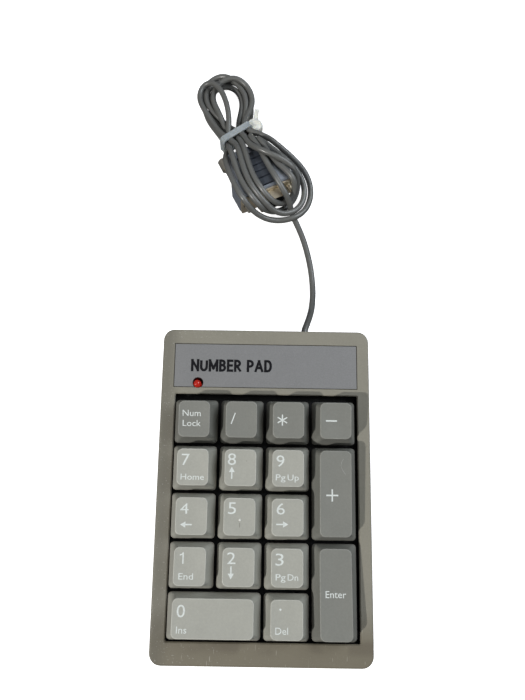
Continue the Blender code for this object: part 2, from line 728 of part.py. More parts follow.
def make_cord_hank(plug, finish):
    upper = capsule(UPPER_CENTRE, UPPER_RADIUS, along_hank(-NECK_OFFSET), NECK_RADIUS)
    lower = capsule(LOWER_CENTRE, LOWER_RADIUS, along_hank(NECK_OFFSET), NECK_RADIUS)
    waist = [along_hank(a * WAIST_LENGTH / 2, b * WAIST_WIDTH / 2)
             for a, b in ((-1, -1), (1, -1), (1, 1), (-1, 1))]
    hank = add_object("cord_hank", loft(prism(lower, TABLE_CLEARANCE, LOWER_TOP), "cord_hank", 30), finish)
    others = [prism(upper, WAIST_BOTTOM, WAIST_TOP), prism(waist, WAIST_BOTTOM + 0.1 * MM, WAIST_TOP - 0.1 * MM)]
    for number, rings in enumerate(others):
        add_to(hank, add_object(f"hank_part_{number}", loft(rings, "hank_part")))
    room = 0.4 * MM
    pocket = [
        block(FLANGE_WIDTH + 2 * room, HOOD_LENGTH + FLANGE_THICKNESS + 2 * room, -MM,
              HOOD_HEIGHT + GRIP_PROUD + room, (0, (HOOD_LENGTH - FLANGE_THICKNESS) / 2)),
        block(2 * HOOD_NECK_RADIUS + 2 * room, HOOD_NECK_LENGTH + MM, -0.8 * MM, HOOD_HEIGHT - MM,
              (0, HOOD_LENGTH + HOOD_NECK_LENGTH / 2)),
        block(FLANGE_WIDTH - MM, SHELL_LENGTH + MM, -1.2 * MM, HOOD_HEIGHT - 0.6 * MM, (0, -3.8 * MM)),
    ]
    for side in (-1, 1):
        pocket.append(block(2 * JACK_HEAD_RADIUS + 2 * room, JACK_HEAD_LENGTH + 2 * room, -0.6 * MM, HOOD_HEIGHT - 1.4 * MM,
                            (side * JACK_SPACING / 2, JACK_HEAD_START + JACK_HEAD_LENGTH / 2)))
    for number, rings in enumerate(pocket):
        cut_from(hank, add_object(f"plug_pocket_{number}", loft(rings, "plug_pocket"), parent=plug))


def make_cable_tie(finish):
    """A strap round the waist, with its lock head and cut tail on one side."""
    inner_x = WAIST_WIDTH / 2 + GAP
    middle = (WAIST_BOTTOM + WAIST_TOP) / 2
    inner_z = (WAIST_TOP - WAIST_BOTTOM) / 2 + GAP
    half = TIE_WIDTH / 2
    turn = math.atan2(HANK_ACROSS.y, HANK_ACROSS.x)
    place = empty("tie_axis", (WAIST.x, WAIST.y, middle), (0, 0, turn))

    def strap_ring(grow, y):
        outline = rounded(inner_x + grow, inner_z + grow, TIE_CORNER + grow, 4)
        return [(x, y, z) for x, z in outline]

    strap = [strap_ring(TIE_THICKNESS, -half), strap_ring(TIE_THICKNESS, half)]
    tie = add_object("cable_tie", loft(strap, "cable_tie", 30), finish, place)
    hole = [strap_ring(0, -2 * half), strap_ring(0, 2 * half)]
    cut_from(tie, add_object("tie_cutter", loft(hole, "tie_cutter"), parent=place))
    head_width, head_depth, head_height = TIE_HEAD
    head_x = inner_x + TIE_THICKNESS + head_width / 2 - 0.6 * MM
    head = block(head_width, head_depth, -head_height / 2, head_height / 2, (head_x, 0))
    add_to(tie, add_object("tie_head", loft(head, "tie_head"), parent=place))
    tail_width, tail_length, tail_thickness = TIE_TAIL
    tail = block(tail_thickness, tail_length, -tail_width / 2, tail_width / 2, (0, tail_length / 2))
    cut_end = add_object("tie_tail", loft(tail, "tie_tail"), parent=place, location=(head_x, 0, 0))
    cut_end.rotation_euler = (0, 0, TIE_TAIL_LEAN)
    add_to(tie, cut_end)


# ---------------------------------------------------------------- plug

def d_outline(width, height, steps=4):
    """The D of the connector's shell, in X and Z: its lower side is narrower."""
    slant = math.radians(10)
    radius = 2.4 * MM
    half_z = height / 2
    shift = half_z * math.tan(slant)
    corners = ((width / 2, half_z), (-width / 2, half_z), (-width / 2 + 2 * shift, -half_z), (width / 2 - 2 * shift, -half_z))
    headings = (0, math.pi / 2, math.pi, 3 * math.pi / 2)
    points = []
    for (x, z), heading in zip(corners, headings):
        centre_x = x - radius * (1 if x > 0 else -1)
        centre_z = z - radius * (1 if z > 0 else -1)
        for step in range(steps + 1):
            angle = heading + step / steps * math.pi / 2
            points.append((centre_x + radius * math.cos(angle), centre_z + radius * math.sin(angle)))
    return points


def across_plug(outline, y):
    """An outline in X and Z, placed at the plug's mid height."""
    return [(x, y, HOOD_HEIGHT / 2 + z) for x, z in outline]


def make_plug_shell(plug, finish):
    flange = rounded(FLANGE_WIDTH / 2, FLANGE_HEIGHT / 2, 1.2 * MM, 3)
    shell = add_object("plug_shell", loft([across_plug(flange, -FLANGE_THICKNESS), across_plug(flange, 0)],
                                          "plug_shell", 30), finish, plug)
    wall = d_outline(SHELL_WIDTH, SHELL_HEIGHT)
    add_to(shell, add_object("shell_wall", loft([across_plug(wall, -SHELL_LENGTH), across_plug(wall, -0.3 * MM)],
                                                "shell_wall"), parent=plug))
    inside = d_outline(SHELL_WIDTH - 2 * SHELL_WALL, SHELL_HEIGHT - 2 * SHELL_WALL)
    cut_from(shell, add_object("shell_inside", loft([across_plug(inside, -2 * SHELL_LENGTH), across_plug(inside, MM)],
                                                    "shell_inside"), parent=plug))
    holes = [turned_along_y(((-2 * MM, JACK_RADIUS + GAP), (MM, JACK_RADIUS + GAP)), side * JACK_SPACING / 2,
                            HOOD_HEIGHT / 2, 12) for side in (-1, 1)]
    cut_from(shell, add_object("flange_holes", loft_many(holes, "flange_holes"), parent=plug))


def make_plug_insert(plug, finish):
    """The black block with nine sockets, five over four."""
    shrink = 2 * (SHELL_WALL + GAP)
    body = d_outline(SHELL_WIDTH - shrink, SHELL_HEIGHT - shrink)
    insert = add_object("plug_insert", loft([across_plug(body, -SHELL_LENGTH + 0.4 * MM), across_plug(body, 0)],
                                            "plug_insert", 30), finish, plug)
    socket_pitch = 2.77 * MM
    sockets = []
    for count, z in ((5, 1.42 * MM), (4, -1.42 * MM)):
        for number in range(count):
            x = (number - (count - 1) / 2) * socket_pitch
            profile = ((-SHELL_LENGTH - MM, 0.6 * MM), (-2 * MM, 0.6 * MM))
            sockets.append(turned_along_y(profile, x, HOOD_HEIGHT / 2 + z, 8))
    cut_from(insert, add_object("socket_holes", loft_many(sockets, "socket_holes"), parent=plug))


def make_plug_hood(plug, finish):
    half_x = FLANGE_WIDTH / 2
    half_y = (HOOD_LENGTH - GAP) / 2
    middle = (0, GAP + half_y)
    rings = []
    for z, inset in ((0, 0.8), (0.8, 0), (13.2, 0), (14, 0.8)):
        outline = rounded(half_x - inset * MM, half_y - inset * MM, 1.6 * MM, 4, middle)
        rings.append(level(outline, z * MM))
    sides = []
    for side in (-1, 1):
        notch_width = half_x - HOOD_BACK_HALF + MM
        centre_x = side * (HOOD_BACK_HALF + notch_width / 2)
        sides.append(block(notch_width, HOOD_LENGTH, -MM, HOOD_HEIGHT + MM, (centre_x, HOOD_SHOULDER + HOOD_LENGTH / 2)))
    hood = add_object("plug_hood", loft(rings, "plug_hood", 30), finish, plug)
    cut_from(hood, add_object("hood_sides", loft_many(sides, "hood_sides"), parent=plug))
    neck = turned_along_y(((HOOD_LENGTH - MM, HOOD_NECK_RADIUS), (HOOD_LENGTH + HOOD_NECK_LENGTH, 3 * MM)),
                          0, HOOD_HEIGHT / 2)
    add_to(hood, add_object("hood_neck", loft(neck, "hood_neck"), parent=plug))
    seat = block(GRIP_WIDTH + 2 * GAP, GRIP_LENGTH + 2 * GAP, HOOD_HEIGHT - GRIP_DEPTH - GAP, HOOD_HEIGHT + MM,
                 (0, 2 * MM + GRIP_LENGTH / 2))
    cut_from(hood, add_object("grip_seat", loft(seat, "grip_seat"), parent=plug))
    channels = [turned_along_y(((-MM, JACK_RADIUS + GAP), (HOOD_LENGTH + MM, JACK_RADIUS + GAP)),
                               side * JACK_SPACING / 2, HOOD_HEIGHT / 2, 12) for side in (-1, 1)]
    cut_from(hood, add_object("jack_channels", loft_many(channels, "jack_channels"), parent=plug))


def make_plug_grip(plug, finish):
    """The ribbed grip let into the hood's top."""
    low = HOOD_HEIGHT - GRIP_DEPTH
    valley = HOOD_HEIGHT + 0.3 * MM
    crest = HOOD_HEIGHT + GRIP_PROUD
    start = 2 * MM
    rib = GRIP_LENGTH / GRIP_RIBS
    groove = 0.5 * MM
    side = [(start, low), (start, crest)]
    for number in range(1, GRIP_RIBS):
        y = start + number * rib
        side += [(y - groove, crest), (y - groove / 2, valley), (y + groove / 2, valley), (y + groove, crest)]
    side += [(start + GRIP_LENGTH, crest), (start + GRIP_LENGTH, low)]
    rings = [[(x, y, z) for y, z in side] for x in (-GRIP_WIDTH / 2, GRIP_WIDTH / 2)]
    add_object("plug_grip", loft(rings, "plug_grip"), finish, plug)


def make_jackscrews(plug, finish):
    rear = JACK_HEAD_START
    profile = (
        (-SHELL_LENGTH + MM, 0.8 * MM), (-SHELL_LENGTH + 1.5 * MM, JACK_RADIUS), (rear, JACK_RADIUS),
        (rear, JACK_HEAD_RADIUS), (rear + JACK_HEAD_LENGTH - 0.5 * MM, JACK_HEAD_RADIUS),
        (rear + JACK_HEAD_LENGTH, JACK_HEAD_RADIUS - 0.5 * MM),
    )
    mesh = loft(turned_along_y(profile, 0, HOOD_HEIGHT / 2, 12), "jackscrew", 30)
    mesh.materials.append(finish)
    for side, name in ((-1, "left"), (1, "right")):
        add_object(f"jackscrew_{name}", mesh, parent=plug, location=(side * JACK_SPACING / 2, 0, 0))


# ---------------------------------------------------------------- assembly

def main():
    clear_scene()
    case_plastic = material("case_plastic", (0.25, 0.24, 0.20), 0.6)
    label_plastic = material("label_plastic", (0.22, 0.225, 0.235), 0.5)
    pale_plastic = material("pale_keycap", (0.38, 0.38, 0.34), 0.55)
    dark_plastic = material("dark_keycap", (0.20, 0.205, 0.195), 0.55)
    guide_plastic = material("guide_plastic", (0.03, 0.03, 0.03), 0.5)
    plunger_plastic = material("plunger_plastic", (0.75, 0.75, 0.70), 0.4)
    dome_rubber = material("dome_rubber", (0.6, 0.58, 0.5), 0.7)
    foot_rubber = material("foot_rubber", (0.03, 0.03, 0.03), 0.85)
    board = material("board", (0.35, 0.25, 0.10), 0.5)
    chip = material("chip", (0.02, 0.02, 0.02), 0.5)
    steel = material("steel", (0.6, 0.6, 0.58), 0.35, 1.0)
    led_red = material("led_red", (0.6, 0.03, 0.02), 0.15)
    cord_jacket = material("cord_jacket", (0.30, 0.31, 0.30), 0.45)
    tie_nylon = material("tie_nylon", (0.72, 0.74, 0.70), 0.35)
    hood_metal = material("hood_metal", (0.55, 0.58, 0.62), 0.3, 1.0)
    grip_plastic = material("grip_plastic", (0.03, 0.035, 0.045), 0.4)
    flange_steel = material("flange_steel", (0.55, 0.47, 0.37), 0.45, 1.0)

    deck = empty("deck", (0, DECK_Y, DECK_Z), (SLOPE, 0, 0))
    plug = empty("plug_axis", PLUG_ORIGIN, (0, 0, PLUG_TURN))

    make_top_cover(deck, case_plastic)
    make_bottom_cover(case_plastic)
    make_label_plate(deck, label_plastic)
    make_feet(foot_rubber)
    make_case_screws(steel)

    make_status_led(deck, led_red)
    make_circuit_board(deck, board)
    make_controller_chip(deck, chip)
    make_crystal(deck, steel)
    make_inner_lead(cord_jacket)

    make_guide_frame(deck, guide_plastic)
    make_dome_sheet(deck, dome_rubber)
    for key in KEYS:
        make_key(deck, key, dark_plastic, pale_plastic)
        make_plunger(deck, key, plunger_plastic)

    make_strain_relief(cord_jacket)
    make_cord_run(cord_jacket)
    make_cord_hank(plug, cord_jacket)
    make_cable_tie(tie_nylon)
    make_plug_shell(plug, flange_steel)
    make_plug_insert(plug, grip_plastic)
    make_plug_hood(plug, hood_metal)
    make_plug_grip(plug, grip_plastic)
    make_jackscrews(plug, steel)


main()
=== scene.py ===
import math

import bmesh
import bpy
import numpy as np
from mathutils import Matrix, Vector
from mathutils.geometry import delaunay_2d_cdt


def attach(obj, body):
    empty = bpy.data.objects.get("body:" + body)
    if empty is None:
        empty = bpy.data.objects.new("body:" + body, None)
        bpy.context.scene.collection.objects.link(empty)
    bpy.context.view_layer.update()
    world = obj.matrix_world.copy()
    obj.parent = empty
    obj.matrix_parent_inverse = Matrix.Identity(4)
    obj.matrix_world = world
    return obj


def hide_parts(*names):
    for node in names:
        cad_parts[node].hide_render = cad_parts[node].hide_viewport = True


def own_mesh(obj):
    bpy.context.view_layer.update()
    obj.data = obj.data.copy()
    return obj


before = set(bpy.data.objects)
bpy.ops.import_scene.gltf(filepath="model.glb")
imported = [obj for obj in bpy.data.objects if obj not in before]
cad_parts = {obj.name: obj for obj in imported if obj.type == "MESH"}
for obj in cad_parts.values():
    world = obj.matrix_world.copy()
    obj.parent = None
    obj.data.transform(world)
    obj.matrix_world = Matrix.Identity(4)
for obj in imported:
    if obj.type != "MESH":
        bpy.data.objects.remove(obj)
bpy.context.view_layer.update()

# Shapes are drawn in millimetres and scaled by MM; the camera, the lights, the
# room and the positions that finishes are painted by are in metres.
MM = 0.001
BODY = "case"
SLOPE = math.radians(6.5)
DECK_Y = -0.01043
DECK_Z = 0.0264
DECK = Matrix.Translation((0, DECK_Y, DECK_Z)) @ Matrix.Rotation(SLOPE, 4, "X")
PITCH = 19.05
PLUG_PLACE = Vector((-0.16, 150.9, 0.1))
PLUG_TURN = math.radians(27.5)
CORD_WIDTH = 3.0


def add_object(name, data):
    made = bpy.data.objects.new(name, data)
    bpy.context.scene.collection.objects.link(made)
    return made


# ---- camera
# fitted to the key grid in the photograph: place and own axes

LENS = 29.12
CAMERA_PLACE = (-0.00142, -0.01256, 0.26615)
CAMERA_AXES = (
    (0.99988, 0.01514, 0.00445), (-0.01578, 0.95652, 0.29123), (0.00016, -0.29126, 0.95664),
)


def make_camera():
    data = bpy.data.cameras.new("camera")
    data.sensor_fit = "AUTO"
    data.sensor_width = 36
    data.lens = LENS
    data.clip_start = 0.01
    data.clip_end = 20
    camera = add_object("camera", data)
    turn = Matrix(CAMERA_AXES).transposed().to_4x4()
    camera.matrix_world = Matrix.Translation(CAMERA_PLACE) @ turn
    bpy.context.scene.camera = camera


# ---- cord
# Route points in millimetres; a point's last number is its height over the table.

RUN = (
    (18, 72.4, 14.5), (18.3, 74.4, 14.3), (19.6, 78.2, 12.9), (21.2, 83.4, 9.8),
    (22.5, 89.6, 6.3), (23.2, 96.8, 3.3), (23.3, 104.4, 1.8), (22.3, 112.2, 1.5),
    (20.6, 120.6, 1.5), (18.5, 129.6, 1.5),
)
CROSSING = (
    (14.5, 140, 1.5), (12.5, 145, 1.5), (10, 149, 2.5), (8, 151.5, 6.5), (5.5, 152, 13),
    (3.5, 155.5, 15.5), (0.5, 160.5, 15.5), (-2.5, 166, 15.5), (-6, 172, 14), (-10, 182, 9),
)
# The hank's loops as they lie outside the tie, in the order the cord takes them:
# whether it runs the loop backwards, where it passes through the tie before it
# (across, height), and the loop's points.
LOOPS = (
    (True, 4.6, 3.0, (
        (-21.8, 190, 4), (-27, 199, 2), (-32, 207, 1.5), (-33.8, 214.5, 1.5), (-33.2, 220, 1.5),
        (-30.5, 223.3, 1.5), (-26.5, 224.2, 1.5), (-22, 223.6, 1.5), (-17.8, 221, 1.5),
        (-14.6, 216.5, 1.5), (-12.8, 211, 1.5), (-13, 204.5, 1.5), (-15.6, 195, 3.5),
    )),
    (False, -2.2, 3.2, (
        (-13.5, 183.5, 6), (-12, 171.5, 12), (-10, 161.5, 15.5), (-7.5, 155, 15.5),
        (-5, 150, 15.5), (-1.5, 147, 13), (2.5, 147, 10), (7, 147.5, 8.5), (11, 150.5, 6),
        (13.5, 153.5, 7.5), (14, 156.5, 10.5), (12, 158.5, 15), (8, 162.5, 16), (2.5, 166.5, 16),
        (-3.5, 170, 15), (-8.5, 178, 10),
    )),
    (True, 3.9, 7.0, (
        (-22, 190, 6), (-27.5, 198.5, 4.8), (-32.3, 206, 4.6), (-34.6, 213, 4.6),
        (-34.4, 219.5, 4.4), (-31.8, 225, 3.4), (-27.4, 228, 1.8), (-22.5, 228, 1.5),
        (-17.6, 225.4, 1.5), (-13, 220.5, 1.5), (-10, 214.5, 1.5), (-9.8, 208.5, 1.6),
        (-12, 200, 4),
    )),
    (True, 1.9, 4.0, (
        (-18.5, 171.5, 12), (-16.5, 161, 15.5), (-14, 154.5, 15.5), (-10, 148, 15.5),
        (-5.5, 145, 12), (-1.5, 144.5, 7.5), (3, 144.5, 4.5), (7, 145, 3), (11, 147, 2.5),
        (14, 150, 3), (15.5, 154.5, 4.5), (15.5, 158, 8), (13, 160, 13), (8.5, 162.5, 17),
        (3, 166, 18), (-2.5, 169.5, 17), (-8, 174, 14), (-12, 182.5, 9),
    )),
    (False, -3.9, 7.2, (
        (-18.5, 194, 10.5), (-20.5, 199.5, 11), (-23, 205.5, 10.5), (-26, 212, 9.5),
        (-29.5, 219, 8.5), (-33, 223.2, 7.5), (-36.5, 223.2, 6.5), (-38.2, 219.3, 6),
        (-37.8, 213.5, 5), (-36.5, 208, 4.5), (-33, 202.5, 5), (-28.5, 195.5, 6), (-23, 188, 7.5),
    )),
    (False, 0.6, 9.0, (
        (-14.5, 174.5, 13), (-13.5, 165, 17), (-11.5, 157.5, 18.5), (-9, 151, 18.5),
        (-6, 145.5, 18), (-2.5, 142.5, 14), (2, 141, 9), (7, 140.5, 6.5), (11.5, 141, 5.5),
        (16, 145, 5), (18.5, 149.5, 5.5), (19.5, 155, 6), (18.5, 160.5, 7.5), (16, 165, 9.5),
        (11.5, 169, 11.5), (5.5, 173, 12.5), (-1, 176.5, 12), (-7, 180, 11),
    )),
    (True, 6.9, 4.4, (
        (-24.5, 188.5, 3.6), (-29.5, 196, 2), (-34.2, 204, 1.5), (-36.9, 212, 1.5),
        (-36.9, 219.5, 1.5), (-34.8, 226, 2.2), (-31, 229, 3.6), (-27, 229.6, 4.6),
        (-22.6, 227.6, 4.6), (-18.4, 224.2, 4.6), (-15, 220, 4.6), (-12.6, 215.4, 4.6),
        (-12.2, 210.5, 4.6), (-13, 204.6, 4.6), (-15, 195, 5),
    )),
    (False, -6.7, 5.0, (
        (-21, 173, 12), (-20, 162.5, 15.5), (-18.5, 156, 15.5), (-16.5, 150, 15.5),
        (-13.5, 144, 15.5), (-9, 140, 12), (-3.5, 139, 7.5), (3, 138, 4.5), (9, 138.5, 3.5),
        (15, 141, 3), (19.5, 145.5, 3), (22.5, 152, 3), (23, 158.5, 3.5), (21.5, 165, 4.5),
        (18, 170.5, 6), (12.5, 174.5, 8), (6.5, 177.5, 9.5), (0.5, 181.5, 9.5), (-5.5, 185, 8.5),
    )),
    (True, 6.6, 7.6, (
        (-20, 190, 8.6), (-24.8, 198, 7.8), (-29.6, 206, 7.6), (-32, 212.5, 7.6),
        (-31.6, 218, 7.6), (-28.6, 222.6, 7.8), (-24.8, 225, 7.8), (-20.4, 225.6, 7.4),
        (-16, 224.2, 6.4), (-12, 220.8, 5), (-9.5, 216, 4.6), (-9, 210.5, 4.6), (-9.8, 205, 4.8),
        (-11.5, 199, 6),
    )),
)
# the hank's waist, where the tie goes round it, and the directions along the
# hank and across it
WAIST = np.array((-17.3, 186.4))
ALONG = np.array((0.5954, -0.8035))
ACROSS = np.array((0.8035, 0.5954))
TIE_HALF_WIDTH = 8.5
TIE_LOW = 1.3
TIE_HIGH = 10.9
# how near the waist, along and across, a strand is squeezed into the tie; and
# how near it a strand is free to leave its route
SQUEEZED = (2.6, 14)
LOOSE = (9, 14)
# the plug as boxes in its own frame: x, y and z limits
PLUG_BOXES = (
    (-15.4, 15.4, -0.8, 11, 0, 14), (-9.7, 9.7, 9, 27, 0, 14), (-6.5, 6.5, 2, 22, 0, 15),
    (-8.5, 8.5, -6, 0, 2.8, 11.2), (-15, -10, 11, 29.5, 4.6, 9.4), (10, 15, 11, 29.5, 4.6, 9.4),
    (-4, 4, 27, 32, 3, 11),
)


def waist_point(across, height):
    return (*(WAIST + ACROSS * across), height)


def even_route(points, step):
    """Evenly spaced points on a smooth curve through the given ones."""
    points = np.array(points, float)
    padded = np.vstack((2 * points[0] - points[1], points, 2 * points[-1] - points[-2]))
    t = np.linspace(0, 1, 16, endpoint=False)[:, None]
    fine = []
    for a, b, c, d in zip(padded, padded[1:], padded[2:], padded[3:]):
        square = 2 * a - 5 * b + 4 * c - d
        cube = 3 * b - a - 3 * c + d
        fine.append(0.5 * (2 * b + (c - a) * t + square * t ** 2 + cube * t ** 3))
    fine = np.vstack(fine + [points[-1:]])
    along = np.concatenate(([0], np.cumsum(np.linalg.norm(np.diff(fine, axis=0), axis=1))))
    stations = np.linspace(0, along[-1], round(along[-1] / step) + 1)
    return np.column_stack([np.interp(stations, along, fine[:, k]) for k in range(3)])


def to_plug(points):
    """The points in the plug's own frame; from_plug takes them back."""
    c, s = math.cos(PLUG_TURN), math.sin(PLUG_TURN)
    x, y, z = (points - np.array(PLUG_PLACE)).T
    return np.column_stack((c * x + s * y, -s * x + c * y, z))


def from_plug(points):
    c, s = math.cos(PLUG_TURN), math.sin(PLUG_TURN)
    x, y, z = points.T
    return np.column_stack((c * x - s * y, s * x + c * y, z)) + np.array(PLUG_PLACE)


def cord_route():
    """The way from the rear wall, through every loop, to the plug's hood."""
    route = [*RUN, *CROSSING]
    for backwards, across, height, loop in LOOPS:
        route.append(waist_point(across, height))
        route += reversed(loop) if backwards else loop
    route.append(waist_point(-0.8, 6.0))
    hood_end = from_plug(np.array(((0, 34.8, 7), (0, 32.3, 7))))
    return route + [tuple(p) for p in hood_end]


def straighten(x, held, reach, strength):
    """Moves each point towards the smooth curve through its neighbours."""
    far = (x[:-4 * reach] + x[4 * reach:]) / 2
    near = (x[reach:-3 * reach] + x[3 * reach:-reach]) / 2
    move = np.zeros_like(x)
    move[2 * reach:-2 * reach] = ((4 * near - far) / 3 - x[2 * reach:-2 * reach]) * strength
    move[held] = 0
    return x + move


def keep_apart(x, first, second, gap):
    """How far to move each point so that the pairs of points come a gap apart."""
    step = x[second] - x[first]
    distance = np.linalg.norm(step, axis=1)
    close = distance < gap
    a, b = first[close], second[close]
    share = (gap - distance[close]) / 2 / np.maximum(distance[close], 1e-6)
    push = share[:, None] * step[close]
    move = np.zeros_like(x)
    count = np.zeros(len(x))
    for ends, way in ((a, -push), (b, push)):
        np.add.at(move, ends, way)
        np.add.at(count, ends, 1)
    return move / np.sqrt(np.maximum(count, 1))[:, None]


def near_waist(points, reach):
    """Which points lie within reach of the waist, and how far across they are."""
    along = (points[:, :2] - WAIST) @ ALONG
    across = (points[:, :2] - WAIST) @ ACROSS
    return (np.abs(along) < reach[0]) & (np.abs(across) < reach[1]), across


def squeeze_into_tie(x, held, clear):
    near, across = near_waist(x, SQUEEZED)
    tied = near & ~held
    side = TIE_HALF_WIDTH - clear
    x[tied, :2] += (np.clip(across, -side, side) - across)[tied][:, None] * ACROSS
    x[tied, 2] = np.clip(x[tied, 2], TIE_LOW + clear, TIE_HIGH - clear)


def lift_off_plug(x, held, clear):
    """Moves points out of the plug's boxes, or on top of a box they are deep in."""
    q = to_plug(x)
    for x0, x1, y0, y1, z0, z1 in PLUG_BOXES:
        nearest = np.clip(q, (x0, y0, z0), (x1, y1, z1))
        out = q - nearest
        distance = np.linalg.norm(out, axis=1)
        outside = (distance < clear) & (distance > 1e-9)
        q[outside] = nearest[outside] + out[outside] / distance[outside][:, None] * clear
        q[distance <= 1e-9, 2] = z1 + clear
    return np.where(held[:, None], x, from_plug(q))


def keep_length(x, held, rest):
    for _ in range(3):
        step = np.diff(x, axis=0)
        length = np.linalg.norm(step, axis=1)
        fix = ((length - rest) / length / 4)[:, None] * step
        x[:-1] += fix * ~held[:-1, None]
        x[1:] -= fix * ~held[1:, None]


def settle(route):
    """Lets the cord lie: it stays near its route and keeps its length, stays a
    width away from itself, and rests on the table, on the plug and in the tie."""
    rounds, last_rounds = 300, 60
    radius = CORD_WIDTH / 2
    clear = radius + 0.05
    x = route.copy()
    rest = np.linalg.norm(np.diff(x, axis=0), axis=1).mean()
    # points next to each other along the cord may be nearer than its width
    skip = math.ceil(2.2 * CORD_WIDTH / rest)
    first, second = np.triu_indices(len(x), k=skip)
    held = np.zeros(len(x), bool)
    held[:20] = True
    held[-3:] = True
    pull = np.where(near_waist(route, LOOSE)[0], 0.0, 1.0)
    pull = np.convolve(np.pad(pull, 4, mode="edge"), np.ones(9) / 9, "valid")
    pull[held] = 0
    for turn in range(rounds):
        strength = 0.02 if turn < rounds - last_rounds else 0.005
        x += (route - x) * (strength * pull)[:, None]
        x = straighten(x, held, 1, 0.5)
        x = straighten(x, held, 3, 0.25)
        x[~held, 2] -= 0.02
        if turn % 5 == 0:
            near = np.abs(x[second] - x[first]).max(axis=1) < CORD_WIDTH * 1.6
            a, b = first[near], second[near]
        for _ in range(2):
            move = keep_apart(x, a, b, CORD_WIDTH + 0.08)
            move[held] = 0
            x += move
        squeeze_into_tie(x, held, clear)
        x = lift_off_plug(x, held, clear)
        x[:, 2] = np.maximum(x[:, 2], radius + 0.1)
        keep_length(x, held, rest)
    for _ in range(2):
        soft = (x[:-2] + 2 * x[1:-1] + x[2:]) / 4
        x[1:-1] = np.where(held[1:-1, None], x[1:-1], soft)
    return x


def make_cord():
    """The cord as one round curve; also its length and where it leaves the case."""
    points = settle(even_route(cord_route(), 1.5)) * MM
    data = bpy.data.curves.new("cord", "CURVE")
    data.dimensions = "3D"
    data.bevel_depth = CORD_WIDTH * MM / 2
    data.bevel_resolution = 5
    data.use_fill_caps = True
    spline = data.splines.new("POLY")
    spline.points.add(len(points) - 1)
    for point, place in zip(spline.points, points):
        point.co = (*place, 1)
    spline.use_smooth = True
    length = float(np.linalg.norm(np.diff(points, axis=0), axis=1).sum())
    return add_object("cord", data), length, points[0]


# ---- materials

def put(node, **values):
    """Sets a node's sockets by name; from_min is the socket called From Min."""
    for name, value in values.items():
        node.inputs[name.replace("_", " ").title()].default_value = value


class Nodes:
    """Short names for building a material's nodes."""

    def __init__(self, name):
        self.material = bpy.data.materials.new(name)
        self.material.use_nodes = True
        self.tree = self.material.node_tree
        self.shader = self.tree.nodes["Principled BSDF"]
        self.place = self.add("ShaderNodeTexCoord").outputs["Object"]

    def add(self, kind, **settings):
        node = self.tree.nodes.new(kind)
        for key, value in settings.items():
            setattr(node, key, value)
        return node

    def link(self, source, target):
        self.tree.links.new(source, target)

    def mapped(self, source, start, end, low=0.0, high=1.0):
        node = self.add("ShaderNodeMapRange")
        self.link(source, node.inputs["Value"])
        put(node, from_min=start, from_max=end, to_min=low, to_max=high)
        return node.outputs["Result"]

    def times(self, a, b):
        node = self.add("ShaderNodeMath", operation="MULTIPLY")
        self.link(a, node.inputs[0])
        self.link(b, node.inputs[1])
        return node.outputs[0]

    def noise(self, scale, detail=2.0, roughness=0.5, vector=None):
        node = self.add("ShaderNodeTexNoise")
        put(node, scale=scale, detail=detail, roughness=roughness)
        self.link(vector or self.place, node.inputs["Vector"])
        return node.outputs["Fac"]

    def ramp(self, source, *stops):
        """A colour ramp; each stop is (place, colour or grey level)."""
        node = self.add("ShaderNodeValToRGB")
        elements = node.color_ramp.elements
        while len(elements) < len(stops):
            elements.new(0.5)
        for element, (place, colour) in zip(elements, stops):
            element.position = place
            level = (colour,) * 3 if isinstance(colour, (int, float)) else colour
            element.color = (*level, 1)
        self.link(source, node.inputs["Fac"])
        return node.outputs["Color"]

    def mix(self, factor, a, b):
        """Colour a where the factor is 0, b where it is 1."""
        node = self.add("ShaderNodeMix", data_type="RGBA")
        self.feed(factor, node.inputs[0])
        self.feed(a, node.inputs[6])
        self.feed(b, node.inputs[7])
        return node.outputs[2]

    def feed(self, value, socket):
        if isinstance(value, bpy.types.NodeSocket):
            self.link(value, socket)
        elif isinstance(value, tuple) and len(value) == 3:
            socket.default_value = (*value, 1)
        else:
            socket.default_value = value

    def mottled(self, scale, detail, low, high, roughness=0.5):
        """Soft noise between two colours or grey levels."""
        return self.ramp(self.noise(scale, detail, roughness), (0.3, low), (0.7, high))

    def bump(self, *layers):
        """Layers of (height, strength, distance in metres), finest last."""
        normal = None
        for height, strength, distance in layers:
            node = self.add("ShaderNodeBump")
            put(node, strength=strength, distance=distance)
            self.link(height, node.inputs["Height"])
            if normal:
                self.link(normal, node.inputs["Normal"])
            normal = node.outputs["Normal"]
        self.link(normal, self.shader.inputs["Normal"])

    def set(self, **values):
        """Gives the shader's own sockets a number, a colour or another node's output."""
        for name, value in values.items():
            socket = name.replace("_", " ").title().replace("Ior", "IOR")
            self.feed(value, self.shader.inputs[socket])


def shade(colour, factor):
    return tuple(c * factor for c in colour)


def moulded(name, colour, rough=0.55, grain=2600, grain_depth=0.35, mottle=0.05, flecks=0.3):
    """Fine-textured moulded plastic with faint mottling and paler flecks."""
    n = Nodes(name)
    base = n.mottled(170, 5, shade(colour, 1 - mottle), shade(colour, 1 + mottle), 0.65)
    fine = n.ramp(n.noise(grain * 0.4, 2, 0.6), (0.35, 0.0), (0.7, flecks))
    n.set(base_color=n.mix(fine, base, shade(colour, 1.25)), specular_ior_level=0.4,
          roughness=n.mottled(180, 3, rough - 0.05, rough + 0.07))
    n.bump((n.noise(grain, 2, 0.55), grain_depth, 0.00004), (n.noise(300, 2), 0.12, 0.00005))
    return n.material


# the key well's walls, in metres
WELL_X = (-0.0388, 0.0396)
WELL_Y = (-0.0582, 0.0402)


